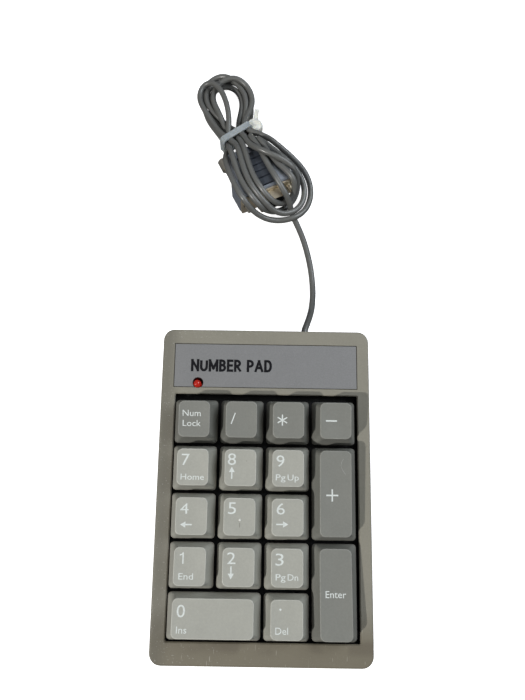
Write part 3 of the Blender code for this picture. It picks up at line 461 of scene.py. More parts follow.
def case_finish(name, colour):
    """Textured case plastic: pebbled, dusty on the left and scratched at the front; painted shade
    darkens the left edge and darkens and browns the front, painted shadow lies in brown patches
    under the front keys, and painted shade makes the key well black."""
    n = Nodes(name)
    split = n.add("ShaderNodeSeparateXYZ")
    n.link(n.place, split.inputs["Vector"])
    x, y, z = split.outputs
    # a point's height less the deck's rise, so that the whole deck is at one level
    height = n.add("ShaderNodeMath", operation="MULTIPLY_ADD")
    n.link(y, height.inputs[0])
    height.inputs[1].default_value = -math.tan(SLOPE)
    n.link(z, height.inputs[2])
    height = height.outputs[0]
    level = DECK_Z - DECK_Y * math.tan(SLOPE)
    deck = n.mapped(height, level - 0.0012, level - 0.0004)
    # mottling and pale pebbles
    base = n.mottled(60, 4, shade(colour, 0.95), shade(colour, 1.06), 0.6)
    pebble = n.mottled(1500, 3, 0.0, 1.0, 0.7)
    base = n.mix(n.mix(pebble, (0.0,) * 3, (0.24,) * 3), base, shade(colour, 1.45))
    # painted shade: darker and browner towards the front, and darker along the left edge
    front = n.mapped(y, -0.045, -0.058, 0.0, 0.68)
    base = n.mix(front, base, (colour[0] * 0.62, colour[1] * 0.56, colour[2] * 0.46))
    base = n.mix(n.mapped(x, -0.036, -0.041, 0.0, 0.45), base, shade(colour, 0.45))
    # dust, thicker to the left
    left = n.mapped(x, 0.01, -0.04, 0.15, 0.8)
    specks = n.ramp(n.noise(1700, 1, 0.4), (0.69, 0.0), (0.73, 0.45))
    base = n.mix(n.times(specks, left), base, (0.5, 0.5, 0.47))
    # pale scratches on the front of the deck, and brown patches of painted shadow from the front
    # keys along its front edge
    streaks = n.add("ShaderNodeMapping")
    put(streaks, rotation=(0, 0, 0.3), scale=(1900, 170, 400))
    n.link(n.place, streaks.inputs["Vector"])
    scratch = n.ramp(n.noise(1.0, 1, 0.3, streaks.outputs["Vector"]), (0.74, 0.0), (0.77, 0.8))
    # the front of the deck: real scratches there, and the painted shadow at its edge
    worn = n.times(front, deck)
    base = n.mix(n.times(scratch, worn), base, (0.42, 0.4, 0.35))
    edge = n.times(n.mapped(y, -0.0628, -0.0604, 0.0, 0.55), worn)
    # painted shadow of the front keys, in brown patches
    smudge = n.times(n.ramp(n.noise(75, 2, 0.4), (0.5, 0.0), (0.6, 1.0)), edge)
    base = n.mix(smudge, base, (0.1, 0.082, 0.062))
    # painted shade: near-black below the deck and between the well's walls
    inside = n.mapped(height, level - 0.0008, level - 0.0012)
    for place, (low, high) in ((x, WELL_X), (y, WELL_Y)):
        inside = n.times(inside, n.mapped(place, low, low + 0.0001))
        inside = n.times(inside, n.mapped(place, high, high - 0.0001))
    n.set(base_color=n.mix(inside, base, (0.006, 0.006, 0.006)), specular_ior_level=0.35,
          roughness=n.mottled(180, 3, 0.5, 0.62))
    n.bump((n.noise(2300, 2, 0.55), 0.5, 0.00005), (n.noise(300, 2), 0.15, 0.00005))
    return n.material


def metal(name, colour, rough, brushed=0.1):
    """Plated or cast metal, clouded and very finely rough."""
    grain = 1500
    n = Nodes(name)
    n.set(base_color=n.mottled(240, 4, shade(colour, 0.86), shade(colour, 1.08), 0.6),
          metallic=1.0, roughness=n.mottled(grain, 3, rough - 0.06, rough + 0.1))
    n.bump((n.noise(grain, 2), brushed, 0.00001))
    return n.material


def jacket(name, colour):
    """Smooth PVC with a faint sheen and handling marks."""
    n = Nodes(name)
    tone = n.mottled(55, 4, shade(colour, 0.9), shade(colour, 1.1), 0.6)
    marks = n.ramp(n.noise(420, 2), (0.68, 0.0), (0.78, 0.35))
    n.set(base_color=n.mix(marks, tone, shade(colour, 1.5)), specular_ior_level=0.7,
          roughness=n.mottled(350, 3, 0.3, 0.42))
    n.bump((n.noise(900, 2), 0.12, 0.00006), (n.noise(130, 2), 0.25, 0.00012))
    return n.material


def rubber(name, colour, rough=0.85):
    n = Nodes(name)
    low, high = shade(colour, 0.8), shade(colour, 1.4)
    n.set(base_color=n.ramp(n.noise(500, 4), (0.3, low), (0.75, high)),
          roughness=n.mottled(300, 2, rough - 0.06, rough + 0.06))
    n.bump((n.noise(2200, 2), 0.4, 0.00005))
    return n.material


def nylon(name, low, high):
    """Milky translucent nylon, mottled between two colours."""
    n = Nodes(name)
    n.set(base_color=n.mottled(160, 3, low, high), roughness=n.mottled(400, 2, 0.28, 0.4),
          transmission_weight=0.25, subsurface_weight=0.35, subsurface_scale=0.002)
    put(n.shader, subsurface_radius=(1.0, 0.9, 0.7))
    n.bump((n.noise(700, 2), 0.15, 0.00005))
    return n.material


def tinted_red(name):
    """The light's clear red plastic, faintly lit."""
    n = Nodes(name)
    n.set(base_color=n.mottled(900, 2, (0.3, 0.008, 0.005), (0.5, 0.02, 0.01)),
          roughness=n.mottled(700, 2, 0.08, 0.18), transmission_weight=0.35,
          emission_color=(0.9, 0.04, 0.015), emission_strength=0.14)
    n.bump((n.noise(1200, 2), 0.05, 0.00003))
    return n.material


def printed(name, colour):
    """Printed ink, slightly uneven."""
    n = Nodes(name)
    n.set(base_color=n.ramp(n.noise(1400, 3), (0.25, shade(colour, 0.86)), (0.6, colour)),
          roughness=n.mottled(900, 2, 0.6, 0.75), specular_ior_level=0.15)
    return n.material


# ---- mesh helpers

def rounded(half_x, half_y, radius, steps, centre=(0, 0), along=0):
    """A rounded rectangle; each straight side is cut by the given extra points."""
    points = []
    flat_x, flat_y = half_x - radius, half_y - radius

    def corner(x_side, y_side, quarters):
        angle = quarters * math.pi / 2
        return (centre[0] + flat_x * x_side + radius * math.cos(angle),
                centre[1] + flat_y * y_side + radius * math.sin(angle))

    signs = ((1, 1), (-1, 1), (-1, -1), (1, -1))
    for quarter, (x_side, y_side) in enumerate(signs):
        points += [corner(x_side, y_side, quarter + step / steps) for step in range(steps + 1)]
        last = points[-1]
        far = corner(*signs[(quarter + 1) % 4], quarter + 1)
        for step in range(1, along + 1):
            t = step / (along + 1)
            points.append((last[0] + (far[0] - last[0]) * t, last[1] + (far[1] - last[1]) * t))
    return points


def add_loops(shape, rings):
    return [[shape.verts.new(Vector(p) * MM) for p in ring] for ring in rings]


def bridge(shape, lower, upper):
    """A band of faces between two closed loops with as many corners."""
    corners = zip(lower, lower[1:] + lower[:1], upper[1:] + upper[:1], upper)
    return [shape.faces.new(four) for four in corners]


def loft_object(name, rings, finish, matrix=Matrix(), sharp=40, slots=()):
    """A closed solid through rings given in millimetres, placed by matrix.  Slots
    are pairs: a material slot, and the rings at which its bands start."""
    shape = bmesh.new()
    loops = add_loops(shape, rings)
    for number, (lower, upper) in enumerate(zip(loops, loops[1:])):
        band = bridge(shape, lower, upper)
        for slot, numbers in slots:
            if number in numbers:
                for face in band:
                    face.material_index = slot
    shape.faces.new(list(reversed(loops[0])))
    shape.faces.new(loops[-1])
    bmesh.ops.recalc_face_normals(shape, faces=shape.faces)
    return mesh_object(name, shape, finish, matrix, sharp)


def ring_object(name, rings, finish, matrix, sharp=50):
    """As loft_object, but the last ring joins the first and there are no ends."""
    shape = bmesh.new()
    loops = add_loops(shape, rings)
    for lower, upper in zip(loops, loops[1:] + loops[:1]):
        bridge(shape, lower, upper)
    bmesh.ops.recalc_face_normals(shape, faces=shape.faces)
    return mesh_object(name, shape, finish, matrix, sharp)


def circle(radius, z, count=32, centre=(0, 0)):
    x, y = centre
    angles = [i * 2 * math.pi / count for i in range(count)]
    return [(x + radius * math.cos(a), y + radius * math.sin(a), z) for a in angles]


def face_up(shape):
    for face in shape.faces:
        face.normal_update()
        if face.normal.z < 0:
            face.normal_flip()


def mesh_object(name, shape, finish, matrix=Matrix(), sharp=40):
    """Turns the shape into an object; edges over the sharp angle stay sharp."""
    shape.transform(matrix)
    mesh = bpy.data.meshes.new(name)
    shape.to_mesh(mesh)
    shape.free()
    mesh.materials.append(finish)
    mesh.shade_smooth()
    mesh.set_sharp_from_angle(angle=math.radians(sharp))
    return add_object(name, mesh)


# ---- keys

# each row's height over the deck and the slope of its faces in degrees
ROW_FACES = ((9.0, 5.5), (8.0, 3.5), (6.6, 0.0), (6.1, -3.0), (5.9, -5.5))
# a single keycap: half sizes at the skirt and at the face, the skirt's height,
# the wall's thickness, how far the face sits to the rear and how deep it dips
CAP_BASE = (9.05, 9.0)
CAP_FACE = (6.33, 7.22)
CAP_SKIRT = -1.0
CAP_WALL = 1.4
CORNER_STEPS = 7
FACE_SHIFT = 0.6
DISH = 0.55
# how far the print stands over the face, and the weight added to small words
PRINT_LIFT = 0.035
WORD_WEIGHT = 0.03
# column, row, columns wide and rows deep
KEYS = {
    "num_lock": (0, 0, 1, 1), "divide": (1, 0, 1, 1), "multiply": (2, 0, 1, 1),
    "minus": (3, 0, 1, 1),
    "seven": (0, 1, 1, 1), "eight": (1, 1, 1, 1), "nine": (2, 1, 1, 1), "plus": (3, 1, 1, 2),
    "four": (0, 2, 1, 1), "five": (1, 2, 1, 1), "six": (2, 2, 1, 1),
    "one": (0, 3, 1, 1), "two": (1, 3, 1, 1), "three": (2, 3, 1, 1), "enter": (3, 3, 1, 2),
    "zero": (0, 4, 2, 1), "decimal": (2, 4, 1, 1),
}
DARK_KEYS = ("num_lock", "divide", "multiply", "minus", "plus", "enter")
# words on the keys: text, left edge, foot of the letters, width and height
WORDS = {
    "num_lock": (("Num", -4.7, 1.1, 7.3, 2.4), ("Lock", -4.6, -2.9, 7.3, 2.4)),
    "seven": (("7", -4.5, 0.7, 3.2, 4.4), ("Home", -4.7, -5.0, 9.3, 2.3)),
    "eight": (("8", -5.1, 1.0, 3.3, 4.6),),
    "nine": (
        ("9", -4.7, 0.6, 3.2, 4.5), ("Pg", -4.9, -4.7, 3.9, 2.3), ("Up", -0.2, -4.7, 4.5, 2.3),
    ),
    "four": (("4", -4.5, 0.8, 3.3, 4.1),),
    "five": (("5", -4.6, 1.0, 3.2, 4.5),),
    "six": (("6", -4.4, 1.1, 3.3, 4.4),),
    "one": (("End", -4.2, -4.8, 5.7, 2.3),),
    "two": (("2", -4.5, 1.1, 3.3, 4.4),),
    "three": (
        ("3", -4.6, 0.8, 3.2, 4.5), ("Pg", -4.5, -4.6, 3.9, 2.3), ("Dn", 0.2, -4.6, 4.1, 2.3),
    ),
    "zero": (("0", -13.9, 0.4, 3.2, 4.5), ("Ins", -13.8, -5.2, 4.0, 2.4)),
    "decimal": (("Del", -4.4, -5.1, 4.9, 2.4),),
    "enter": (("Enter", -4.1, -1.3, 8.0, 2.5),),
}
# bars drawn on the keys: start x, start y, end x, end y, thickness
BARS = {
    "divide": ((-4.1, -1.8, -2.5, 2.6, 0.45),),
    "multiply": (
        (-2.5, -2.2, -2.5, 2.2, 0.5), (-4.4, -1.1, -0.6, 1.1, 0.5), (-4.4, 1.1, -0.6, -1.1, 0.5),
    ),
    "minus": ((-4.0, 0.0, 0.5, 0.0, 0.6),),
    "plus": ((-3.8, -0.75, 1.0, -0.75, 0.6), (-1.4, -3.1, -1.4, 1.6, 0.6)),
    "one": ((-2.7, 0.9, -2.7, 5.2, 0.52), (-4.0, 4.15, -2.75, 4.7, 0.45)),
    "eight": ((-3.4, -4.4, -3.4, -1.2, 0.55),),
    "two": ((-2.9, -3.0, -2.9, 0.3, 0.55),),
    "four": ((-2.8, -3.3, 0.3, -3.3, 0.55),),
    "six": ((-4.5, -2.7, -1.3, -2.7, 0.55),),
}
# arrow heads: tip x, tip y, direction x, direction y
ARROWS = {
    "eight": (-3.4, 0.3, 0, 1), "two": (-2.9, -4.5, 0, -1),
    "four": (-4.3, -3.3, -1, 0), "six": (0.3, -2.7, 1, 0),
}


def key_frame(name):
    """The key's place, height and slope, and the half sizes of its face."""
    column, row, width, depth = KEYS[name]
    rows = ROW_FACES[row:row + depth]
    height = sum(r[0] for r in rows) / depth
    slope = math.tan(math.radians(sum(r[1] for r in rows) / depth))
    across, back = column + width / 2 - 2, 2.5 - row - depth / 2
    place = Vector((across * PITCH, back * PITCH, 0)) * MM
    half_x = CAP_FACE[0] + (width - 1) * PITCH / 2
    half_y = CAP_FACE[1] + (depth - 1) * PITCH / 2
    return DECK @ Matrix.Translation(place), height, slope, half_x, half_y


def face_height(name, x, y):
    """Height of the dished face at x, y from the face's middle."""
    _, height, slope, half_x, half_y = key_frame(name)
    u, v = min(1, abs(x) / half_x), min(1, abs(y) / half_y)
    dish = DISH * (1 - u ** 2) * (1 - v ** 2)
    return height + y * slope - dish


def make_cap(name, finish, rim_finish, skirt_grime_and_shade_finish):
    """A hollow keycap, ring by ring: up the inside, round the skirt, up the
    outside, over the rim and in across the dished face."""
    matrix, height, slope, half_x, half_y = key_frame(name)
    width, depth = KEYS[name][2:]
    base_x = CAP_BASE[0] + (width - 1) * PITCH / 2
    base_y = CAP_BASE[1] + (depth - 1) * PITCH / 2
    along = 6 * max(width, depth)
    shift = (0, FACE_SHIFT)

    def side(t, grow=0.0, drop=0.0):
        """The outer side at a share t of the way from the skirt to the rim."""
        hollow = 0.45 * math.sin(math.pi * t) * (1 - 0.3 * t)
        x = base_x + (half_x - base_x) * t - hollow + grow
        y = base_y + (half_y - base_y) * t - hollow + grow
        ring = []
        for px, py in rounded(x, y, 1.5 + 0.7 * t, CORNER_STEPS, (0, FACE_SHIFT * t), along):
            rise = height + (py - FACE_SHIFT) * slope - CAP_SKIRT
            ring.append((px, py, CAP_SKIRT + rise * t - drop))
        return ring

    def face(scale):
        edge_x, edge_y = half_x * scale, half_y * scale
        if scale >= 0.9:
            inset = (1 - scale) * 6.3
            edge_x, edge_y = half_x - inset, half_y - inset
        outline = rounded(edge_x, edge_y, max(2.0 * scale, 0.1), CORNER_STEPS, shift, along)
        return [(px, py, face_height(name, px, py - FACE_SHIFT)) for px, py in outline]

    def flat_ring(half_width, half_depth, inset, radius, z, centre=(0, 0)):
        outline = rounded(half_width - inset, half_depth - inset, radius, CORNER_STEPS,
                          centre, along)
        return [(px, py, z) for px, py in outline]

    ceiling = height - half_y * abs(slope) - DISH - CAP_WALL
    rings = [
        flat_ring(half_x, half_y, CAP_WALL, 1.0, ceiling, shift),
        flat_ring(base_x, base_y, CAP_WALL, 0.8, CAP_SKIRT),
        flat_ring(base_x, base_y, 0.15, 1.4, CAP_SKIRT),
    ]
    rings += [side(t) for t in (0.03, 0.14, 0.28, 0.44, 0.6, 0.78, 0.9)]
    rim = 0.5
    for step in range(1, 5):
        angle = step / 5 * math.pi / 2
        grow = -rim * (1 - math.cos(angle)) * 0.6 + 0.05
        rings.append(side(1.0, grow, rim * (1 - math.sin(angle))))
    # the bands over the rim take the rim finish: paler, partly as wear and partly as a painted
    # highlight
    bright = range(len(rings) - 3, len(rings))
    rings += [face(s) for s in (0.945, 0.91, 0.82, 0.72, 0.6, 0.46, 0.3, 0.12)]
    # the inside and the foot of the skirt take the skirt finish: darker, partly as grime and
    # partly as painted shade
    slots = ((1, bright), (2, range(0, 4)))
    cap = loft_object(f"cap_{name}", rings, finish, matrix, 60, slots)
    cap.data.materials.append(rim_finish)
    cap.data.materials.append(skirt_grime_and_shade_finish)
    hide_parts(f"keycap_{name}")
    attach(cap, f"key_{name}")


def lay_on_key(name, shape):
    """Puts a flat shape, drawn in millimetres, just over the key's face.  It is
    cut by a fine net first, so that it follows the dish."""
    for axis in ((1, 0, 0), (0, 1, 0)):
        for step in np.arange(-14.7, 8.4, 0.7):
            everything = shape.verts[:] + shape.edges[:] + shape.faces[:]
            bmesh.ops.bisect_plane(shape, geom=everything, plane_co=Vector(axis) * step,
                                   plane_no=axis)
    for vertex in shape.verts:
        x, y = vertex.co.x, vertex.co.y
        vertex.co.z = face_height(name, x, y) + PRINT_LIFT
        vertex.co.y += FACE_SHIFT
    shape.transform(Matrix.Scale(MM, 4))


def flat_letters(text, left, foot, width, height, weight):
    """The letters as a mesh, stretched so that they fill the given box; tails
    hang below the foot line."""
    data = bpy.data.curves.new("letters", "FONT")
    data.body = text
    data.size = 10
    data.offset = weight
    data.resolution_u = 3
    holder = add_object("letters", data)
    bpy.context.view_layer.update()
    drawn = holder.evaluated_get(bpy.context.evaluated_depsgraph_get())
    mesh = bpy.data.meshes.new_from_object(drawn)
    bpy.data.objects.remove(holder, do_unlink=True)
    start = min(v.co.x for v in mesh.vertices)
    span = max(v.co.x for v in mesh.vertices) - start
    top = max(v.co.y for v in mesh.vertices)
    for vertex in mesh.vertices:
        vertex.co.x = left + (vertex.co.x - start) / span * width
        vertex.co.y = foot + vertex.co.y / top * height
    return mesh


def bar(shape, x0, y0, x1, y1, thickness):
    """Adds a straight stroke, cut into short pieces."""
    start, end = Vector((x0, y0)), Vector((x1, y1))
    way = Vector((x1 - x0, y1 - y0)).normalized()
    side = Vector((-way.y, way.x)) * thickness / 2
    pieces = max(2, round((end - start).length / 0.8))
    edge = []
    for i in range(pieces + 1):
        middle = start.lerp(end, i / pieces)
        edge.append([shape.verts.new((*p, 0)) for p in (middle + side, middle - side)])
    for (a, b), (c, d) in zip(edge, edge[1:]):
        shape.faces.new((a, b, d, c))


def make_legend(name, ink):
    """Everything printed on one key, as one thin piece."""
    shape = bmesh.new()
    for word in WORDS.get(name, ()):
        digit = word[4] > 4
        letters = flat_letters(*word, 0.0 if digit else WORD_WEIGHT)
        shape.from_mesh(letters)
        bpy.data.meshes.remove(letters)
    for line in BARS.get(name, ()):
        bar(shape, *line)
    if name in ARROWS:
        x, y, dx, dy = ARROWS[name]
        back = Vector((x - dx * 2.1, y - dy * 2.1))
        side = Vector((-dy, dx)) * 1.2
        corners = (Vector((x, y)), back + side, back - side)
        shape.faces.new([shape.verts.new((*c, 0)) for c in corners])
    if name == "decimal":
        dot = rounded(0.42, 0.42, 0.41, 4, (-2.5, 3.6))
        shape.faces.new([shape.verts.new((x, y, 0)) for x, y in dot])
    lay_on_key(name, shape)
    face_up(shape)
    legend = mesh_object(f"legend_{name}", shape, ink, key_frame(name)[0])
    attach(legend, f"key_{name}")


def make_nub(finish):
    """The raised pip that marks the home key."""
    rings = []
    for z, radius in ((-0.2, 0.5), (0.1, 0.5), (0.28, 0.42), (0.4, 0.26), (0.44, 0.1)):
        ring = circle(radius, 0, 16, (0.15, -1.25 + FACE_SHIFT))
        rings.append([(x, y, face_height("five", x, y - FACE_SHIFT) + z) for x, y, _ in ring])
    nub = loft_object("home_nub", rings, finish, key_frame("five")[0], 60)
    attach(nub, "key_five")


# marks of use: key, whether pale, thickness and the points of its line
MARKS = {
    "scuff_plus": ("plus", True, 0.14, (
        (3.1, 13.6), (2.3, 12.2), (2.1, 10.8), (2.6, 9.4), (3.4, 8.2), (4.0, 7.3),
    )),
    "smudge_five": ("five", False, 0.22, ((0.2, -2.3), (0.1, -3.2), (0.15, -4.1))),
    "nick_eight": ("eight", False, 0.22, ((2.2, 2.7), (2.6, 2.5))),
    "speck_nine": ("nine", True, 0.25, ((4.4, 1.2), (4.6, 1.1))),
    "speck_multiply": ("multiply", False, 0.3, ((3.6, -3.9), (3.8, -4.1))),
}


def make_marks(pale, dark):
    """Scuffs and specks as thin strokes on the faces."""
    for mark, (key, is_pale, thickness, line) in MARKS.items():
        shape = bmesh.new()
        for (x0, y0), (x1, y1) in zip(line, line[1:]):
            bar(shape, x0, y0, x1, y1, thickness)
        lay_on_key(key, shape)
        made = mesh_object(f"mark_{mark}", shape, pale if is_pale else dark, key_frame(key)[0])
        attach(made, f"key_{key}")


# ---- label and light

# the label's top face, from the deck's plane
LABEL_TOP = -0.15


def arc(cx, cy, rx, ry, start, end):
    angles = np.radians(np.linspace(start, end, 9))
    return [(cx + rx * math.cos(a), cy + ry * math.sin(a)) for a in angles]


def bowl(high, low, reach):
    """The round side of a B, D, P or R, from the stem and back to it."""
    round_part = min(reach, 0.36)
    curve = arc(reach - round_part, (high + low) / 2, round_part, (high - low) / 2, 90, -90)
    return [(0, high), *curve, (0, low)]


STEM = [(0, 0), (0, 1)]
# capitals as strokes in a box 1 high: width, then the strokes
CAPITALS = {
    "N": (0.72, STEM, [(0, 1), (0.72, 0)], [(0.72, 0), (0.72, 1)]),
    "U": (0.7, [(0, 1), *arc(0.35, 0.35, 0.35, 0.35, 180, 360), (0.7, 1)]),
    "M": (0.9, STEM, [(0, 1), (0.45, 0.2)], [(0.45, 0.2), (0.9, 1)], [(0.9, 0), (0.9, 1)]),
    "B": (0.58, STEM, bowl(1, 0.54, 0.52), bowl(0.54, 0, 0.58)),
    "E": (0.5, STEM, [(0, 1), (0.5, 1)], [(0, 0.52), (0.44, 0.52)], [(0, 0), (0.5, 0)]),
    "R": (0.6, STEM, bowl(1, 0.46, 0.56), [(0.22, 0.46), (0.6, 0)]),
    "P": (0.58, STEM, bowl(1, 0.44, 0.58)),
    "A": (0.8, [(0, 0), (0.4, 1)], [(0.4, 1), (0.8, 0)], [(0.15, 0.3), (0.65, 0.3)]),
    "D": (0.68, STEM, bowl(1, 0, 0.68)),
    " ": (0.2,),
}
LETTER_GAP = 0.4
LETTER_STROKE = 1.05


def holds(polygon, point):
    """Whether a convex polygon, drawn anticlockwise, holds the point."""
    sides = zip(polygon, polygon[1:] + polygon[:1])
    return all((b - a).cross(point - a) >= 0 for a, b in sides)


def stroke_letters(text, size):
    """Bold capitals as one flat mesh, in millimetres from the foot's left end."""
    half = LETTER_STROKE / 2
    total = sum(CAPITALS[letter][0] for letter in text) + LETTER_GAP * (len(text) - 1)
    wide = (size[0] - LETTER_STROKE) / total
    tall = size[1] - LETTER_STROKE
    polygons = []
    at = 0.0
    for letter in text:
        width, *strokes = CAPITALS[letter]
        for stroke in strokes:
            line = [Vector((half + (at + x) * wide, half + y * tall)) for x, y in stroke]
            for joint in line[1:-1]:
                polygons.append([joint + Vector(p[:2]) for p in circle(half, 0, 16)])
            for a, b in zip(line, line[1:]):
                way = (b - a).normalized() * half
                side = Vector((-way.y, way.x))
                ends = (a - side, b - side, b + side, a + side) if len(line) > 2 else (
                    a - side - way, b - side + way, b + side + way, a + side - way)
                polygons.append([Vector((p.x, min(max(p.y, 0), size[1]))) for p in ends])
        at += width + LETTER_GAP
    corners = [p for polygon in polygons for p in polygon]
    faces = []
    for polygon in polygons:
        first = sum(len(face) for face in faces)
        faces.append(list(range(first, first + len(polygon))))
    found, _, triangles, *_ = delaunay_2d_cdt(corners, [], faces, 1, 1e-4)
    shape = bmesh.new()
    points = [shape.verts.new((p.x, p.y, 0)) for p in found]
    for triangle in triangles:
        middle = sum((found[i] for i in triangle), Vector((0, 0))) / 3
        if any(holds(polygon, middle) for polygon in polygons):
            shape.faces.new([points[i] for i in triangle])
    loose = [v for v in shape.verts if not v.link_faces]
    bmesh.ops.delete(shape, geom=loose, context="VERTS")
    return shape


def label_wording(text, size, place, finish):
    """Bold letters printed on the label; place is the foot's left end."""
    shape = stroke_letters(text, size)
    shape.transform(Matrix.Translation(place))
    shape.transform(Matrix.Scale(MM, 4))
    face_up(shape)
    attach(mesh_object("label_wording", shape, finish, DECK), BODY)


def make_led(finish, rim_finish):
    """A round lens with a flange, and a dark collar round it in the label's hole."""
    place = DECK @ Matrix.Translation(Vector((-28.9, 54.1, 0)) * MM)
    radius, flange, dome_foot = 1.6, 1.4, -0.5
    profile = [(flange, -6.8), (flange, -1.6), (radius, -1.55), (radius, dome_foot)]
    for a in np.linspace(0.12, math.pi / 2 - 0.1, 10):
        profile.append((radius * math.cos(a), dome_foot + radius * math.sin(a)))
    lens = loft_object("led_lens", [circle(r, z, 36) for r, z in profile], finish, place, 50)
    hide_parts("status_led")
    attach(lens, BODY)
    hole = DECK @ Matrix.Translation(Vector((-28.6, 54.5, 0)) * MM)
    collar = [(2.29, -4.5), (2.29, -0.35), (2.16, -0.3), (2.16, -4.5)]
    tube = ring_object("led_tube", [circle(r, z, 40) for r, z in collar], rim_finish, hole)
    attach(tube, BODY)


# ---- rubber domes

# heights from the deck's plane
SHEET_LOW = -14.2
SHEET_HIGH = -13.6
# a dome's section: radius and height, up the outside and down the inside
DOME = (
    (5.4, -13.6), (5.2, -13.2), (4.2, -12.3), (2.9, -10.95), (2.6, -10.3), (2.3, -10.2),
    (0.35, -10.2), (0.35, -10.9), (2.1, -11.0), (3.4, -12.4), (4.6, -13.35), (4.8, -13.6),
)


def make_domes(finish):
    """The rubber sheet, and on it a dome under each key."""
    outline = rounded(37.25, 47, 2, 6)
    sheet = [[(x, y, z) for x, y in outline] for z in (SHEET_LOW, SHEET_HIGH)]
    web = loft_object("dome_web", sheet, finish, DECK)
    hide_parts("rubber_dome_sheet")
    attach(web, BODY)
    for name in KEYS:
        place = key_frame(name)[0]
        dome = ring_object(f"dome_{name}", [circle(r, z, 24) for r, z in DOME], finish, place)
        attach(dome, BODY)
        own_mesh(dome)


# ---- cable tie

TIE_THICK = 1.2
TIE_STRAP = 3.4


def make_tie(thin, thick):
    """The strap round the hank's waist, its ratchet head and its cut tail."""
    turn = math.atan2(ACROSS[1], ACROSS[0])
    place = Matrix.Translation((*(WAIST * MM), 0)) @ Matrix.Rotation(turn, 4, "Z")
    middle = (TIE_LOW + TIE_HIGH) / 2
    half_height = (TIE_HIGH - TIE_LOW) / 2
    half = TIE_STRAP / 2
    # the strap's section, sunk along its outer face: outwards, and along the hank
    section = (
        (0.05, -half + 0.15), (0.15, -half), (TIE_THICK - 0.15, -half), (TIE_THICK, -half + 0.2),
        (TIE_THICK - 0.2, -0.5), (TIE_THICK - 0.2, 0.5), (TIE_THICK, half - 0.2),
        (TIE_THICK - 0.15, half), (0.15, half), (0.05, half - 0.15),
    )
    rings = []
    for grow, y in section:
        outline = rounded(TIE_HALF_WIDTH + grow, half_height + grow, 1.3 + grow, 5)
        rings.append([(x, y, middle + z) for x, z in outline])
    strap = ring_object("tie_strap", rings, thin, place, 45)
    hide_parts("cable_tie")
    # the head, a rounded block
    head_place = place @ Matrix.Translation(Vector((12.1, 0, 6.1)) * MM)
    levels = ((-2.7, 0.8), (-2.4, 0.3), (-1.6, 0), (1.3, 0), (2.1, 0.3), (2.6, 0.8), (2.8, 1.5))
    rings = []
    for z, shrink in levels:
        outline = rounded(4.0 - shrink, 4.2 - shrink, 3.4 - shrink, 6)
        rings.append([(x, y, z) for x, y in outline])
    head = loft_object("tie_head", rings, thick, head_place, 45)
    # the cut tail, with its ratchet teeth on top
    tail_place = head_place @ Matrix.Rotation(math.radians(49), 4, "Z")
    start, end, teeth = 3.2, 11.4, 9
    low, high = 0.42, 0.62
    steps = []
    for i in range(teeth):
        x = start + (end - start) * i / teeth
        steps += [(x, low), (x + (end - start) / teeth * 0.8, high)]
    steps.append((end, low))
    rings = []
    for x, top in steps:
        corners = ((-1.2, -0.45), (1.2, -0.45), (1.2, low), (0.85, low), (0.8, top), (-0.8, top),
                   (-0.85, low), (-1.2, low))
        rings.append([(x, y, z) for y, z in corners])
    tail = loft_object("tie_tail", rings, thick, tail_place, 30)
    for piece in (strap, head, tail):
        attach(piece, BODY)
    return [strap, head, tail]


# ---- room

# the room's light, at and below the table and overhead
ROOM_LOW = 0.12
ROOM_HIGH = 0.27
FLOOR_GLOW = 0.9
# a flat floor that sweeps up into a round wall far behind the object: radius, z
FLOOR_SWEEP = ((0.02, -0.0003), (0.5, -0.0003), (2.2, 0), (2.6, 0.04), (3.0, 0.18), (3.3, 0.45),
               (3.5, 0.9), (3.6, 3.0))
# name, direction from the object, distance, size, power and colour
LIGHTS = (
    ("key_light", (-0.94, -0.75, 1.0), 1.1, 0.02, 7.8, (1.0, 0.985, 0.95)),
    ("side_fill", (1.0, 0.45, 1.1), 1.0, 0.75, 6.5, (0.88, 0.94, 1.0)),
)
LIT_POINT = (0, 0.05, 0.02)


def make_room():
    scene = bpy.context.scene
    scene.view_settings.view_transform = "Standard"
    world = bpy.data.worlds.new("room")
    world.use_nodes = True
    tree = world.node_tree
    # light comes from a pale ceiling; the room below the table is dark
    place = tree.nodes.new("ShaderNodeTexCoord")
    split = tree.nodes.new("ShaderNodeSeparateXYZ")
    ramp = tree.nodes.new("ShaderNodeMapRange")
    background = tree.nodes["Background"]
    tree.links.new(place.outputs["Generated"], split.inputs["Vector"])
    tree.links.new(split.outputs["Z"], ramp.inputs["Value"])
    put(ramp, from_min=0.1, from_max=0.9, to_min=ROOM_LOW, to_max=ROOM_HIGH)
    tree.links.new(ramp.outputs["Result"], background.inputs["Strength"])
    put(background, color=(0.97, 0.985, 1.0, 1))
    scene.world = world
    n = Nodes("studio_floor")
    n.set(base_color=(0.9, 0.9, 0.9), roughness=0.9, emission_color=(1, 1, 1),
          emission_strength=FLOOR_GLOW)
    shape = bmesh.new()
    loops = [[shape.verts.new(p) for p in circle(r, z, 64)] for r, z in FLOOR_SWEEP]
    for lower, upper in zip(loops, loops[1:]):
        bridge(shape, lower, upper)
    shape.faces.new(loops[0])
    floor = mesh_object("studio_floor", shape, n.material)
    # it doesn't light the object, so the sides turned away from the lamps stay deep
    floor.visible_diffuse = False
    floor.visible_glossy = False
    floor.visible_shadow = False
    for light in LIGHTS:
        add_light(*light)


def add_light(name, way, distance, size, power, colour):
    data = bpy.data.lights.new(name, "AREA")
    data.shape = "DISK"
    data.size = size
    data.energy = power
    data.color = colour
    light = add_object(name, data)
    way = Vector(way).normalized()
    light.location = Vector(LIT_POINT) + way * distance
    light.rotation_euler = way.to_track_quat("Z", "Y").to_euler()


# ---- carried-over nodes

def dress(materials):
    """Gives each carried-over solid its material, by the start of its name."""
    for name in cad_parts:
        node = bpy.data.objects[name]
        for start, finish in materials.items():
            if name.startswith(start):
                for slot in node.material_slots:
                    slot.material = finish


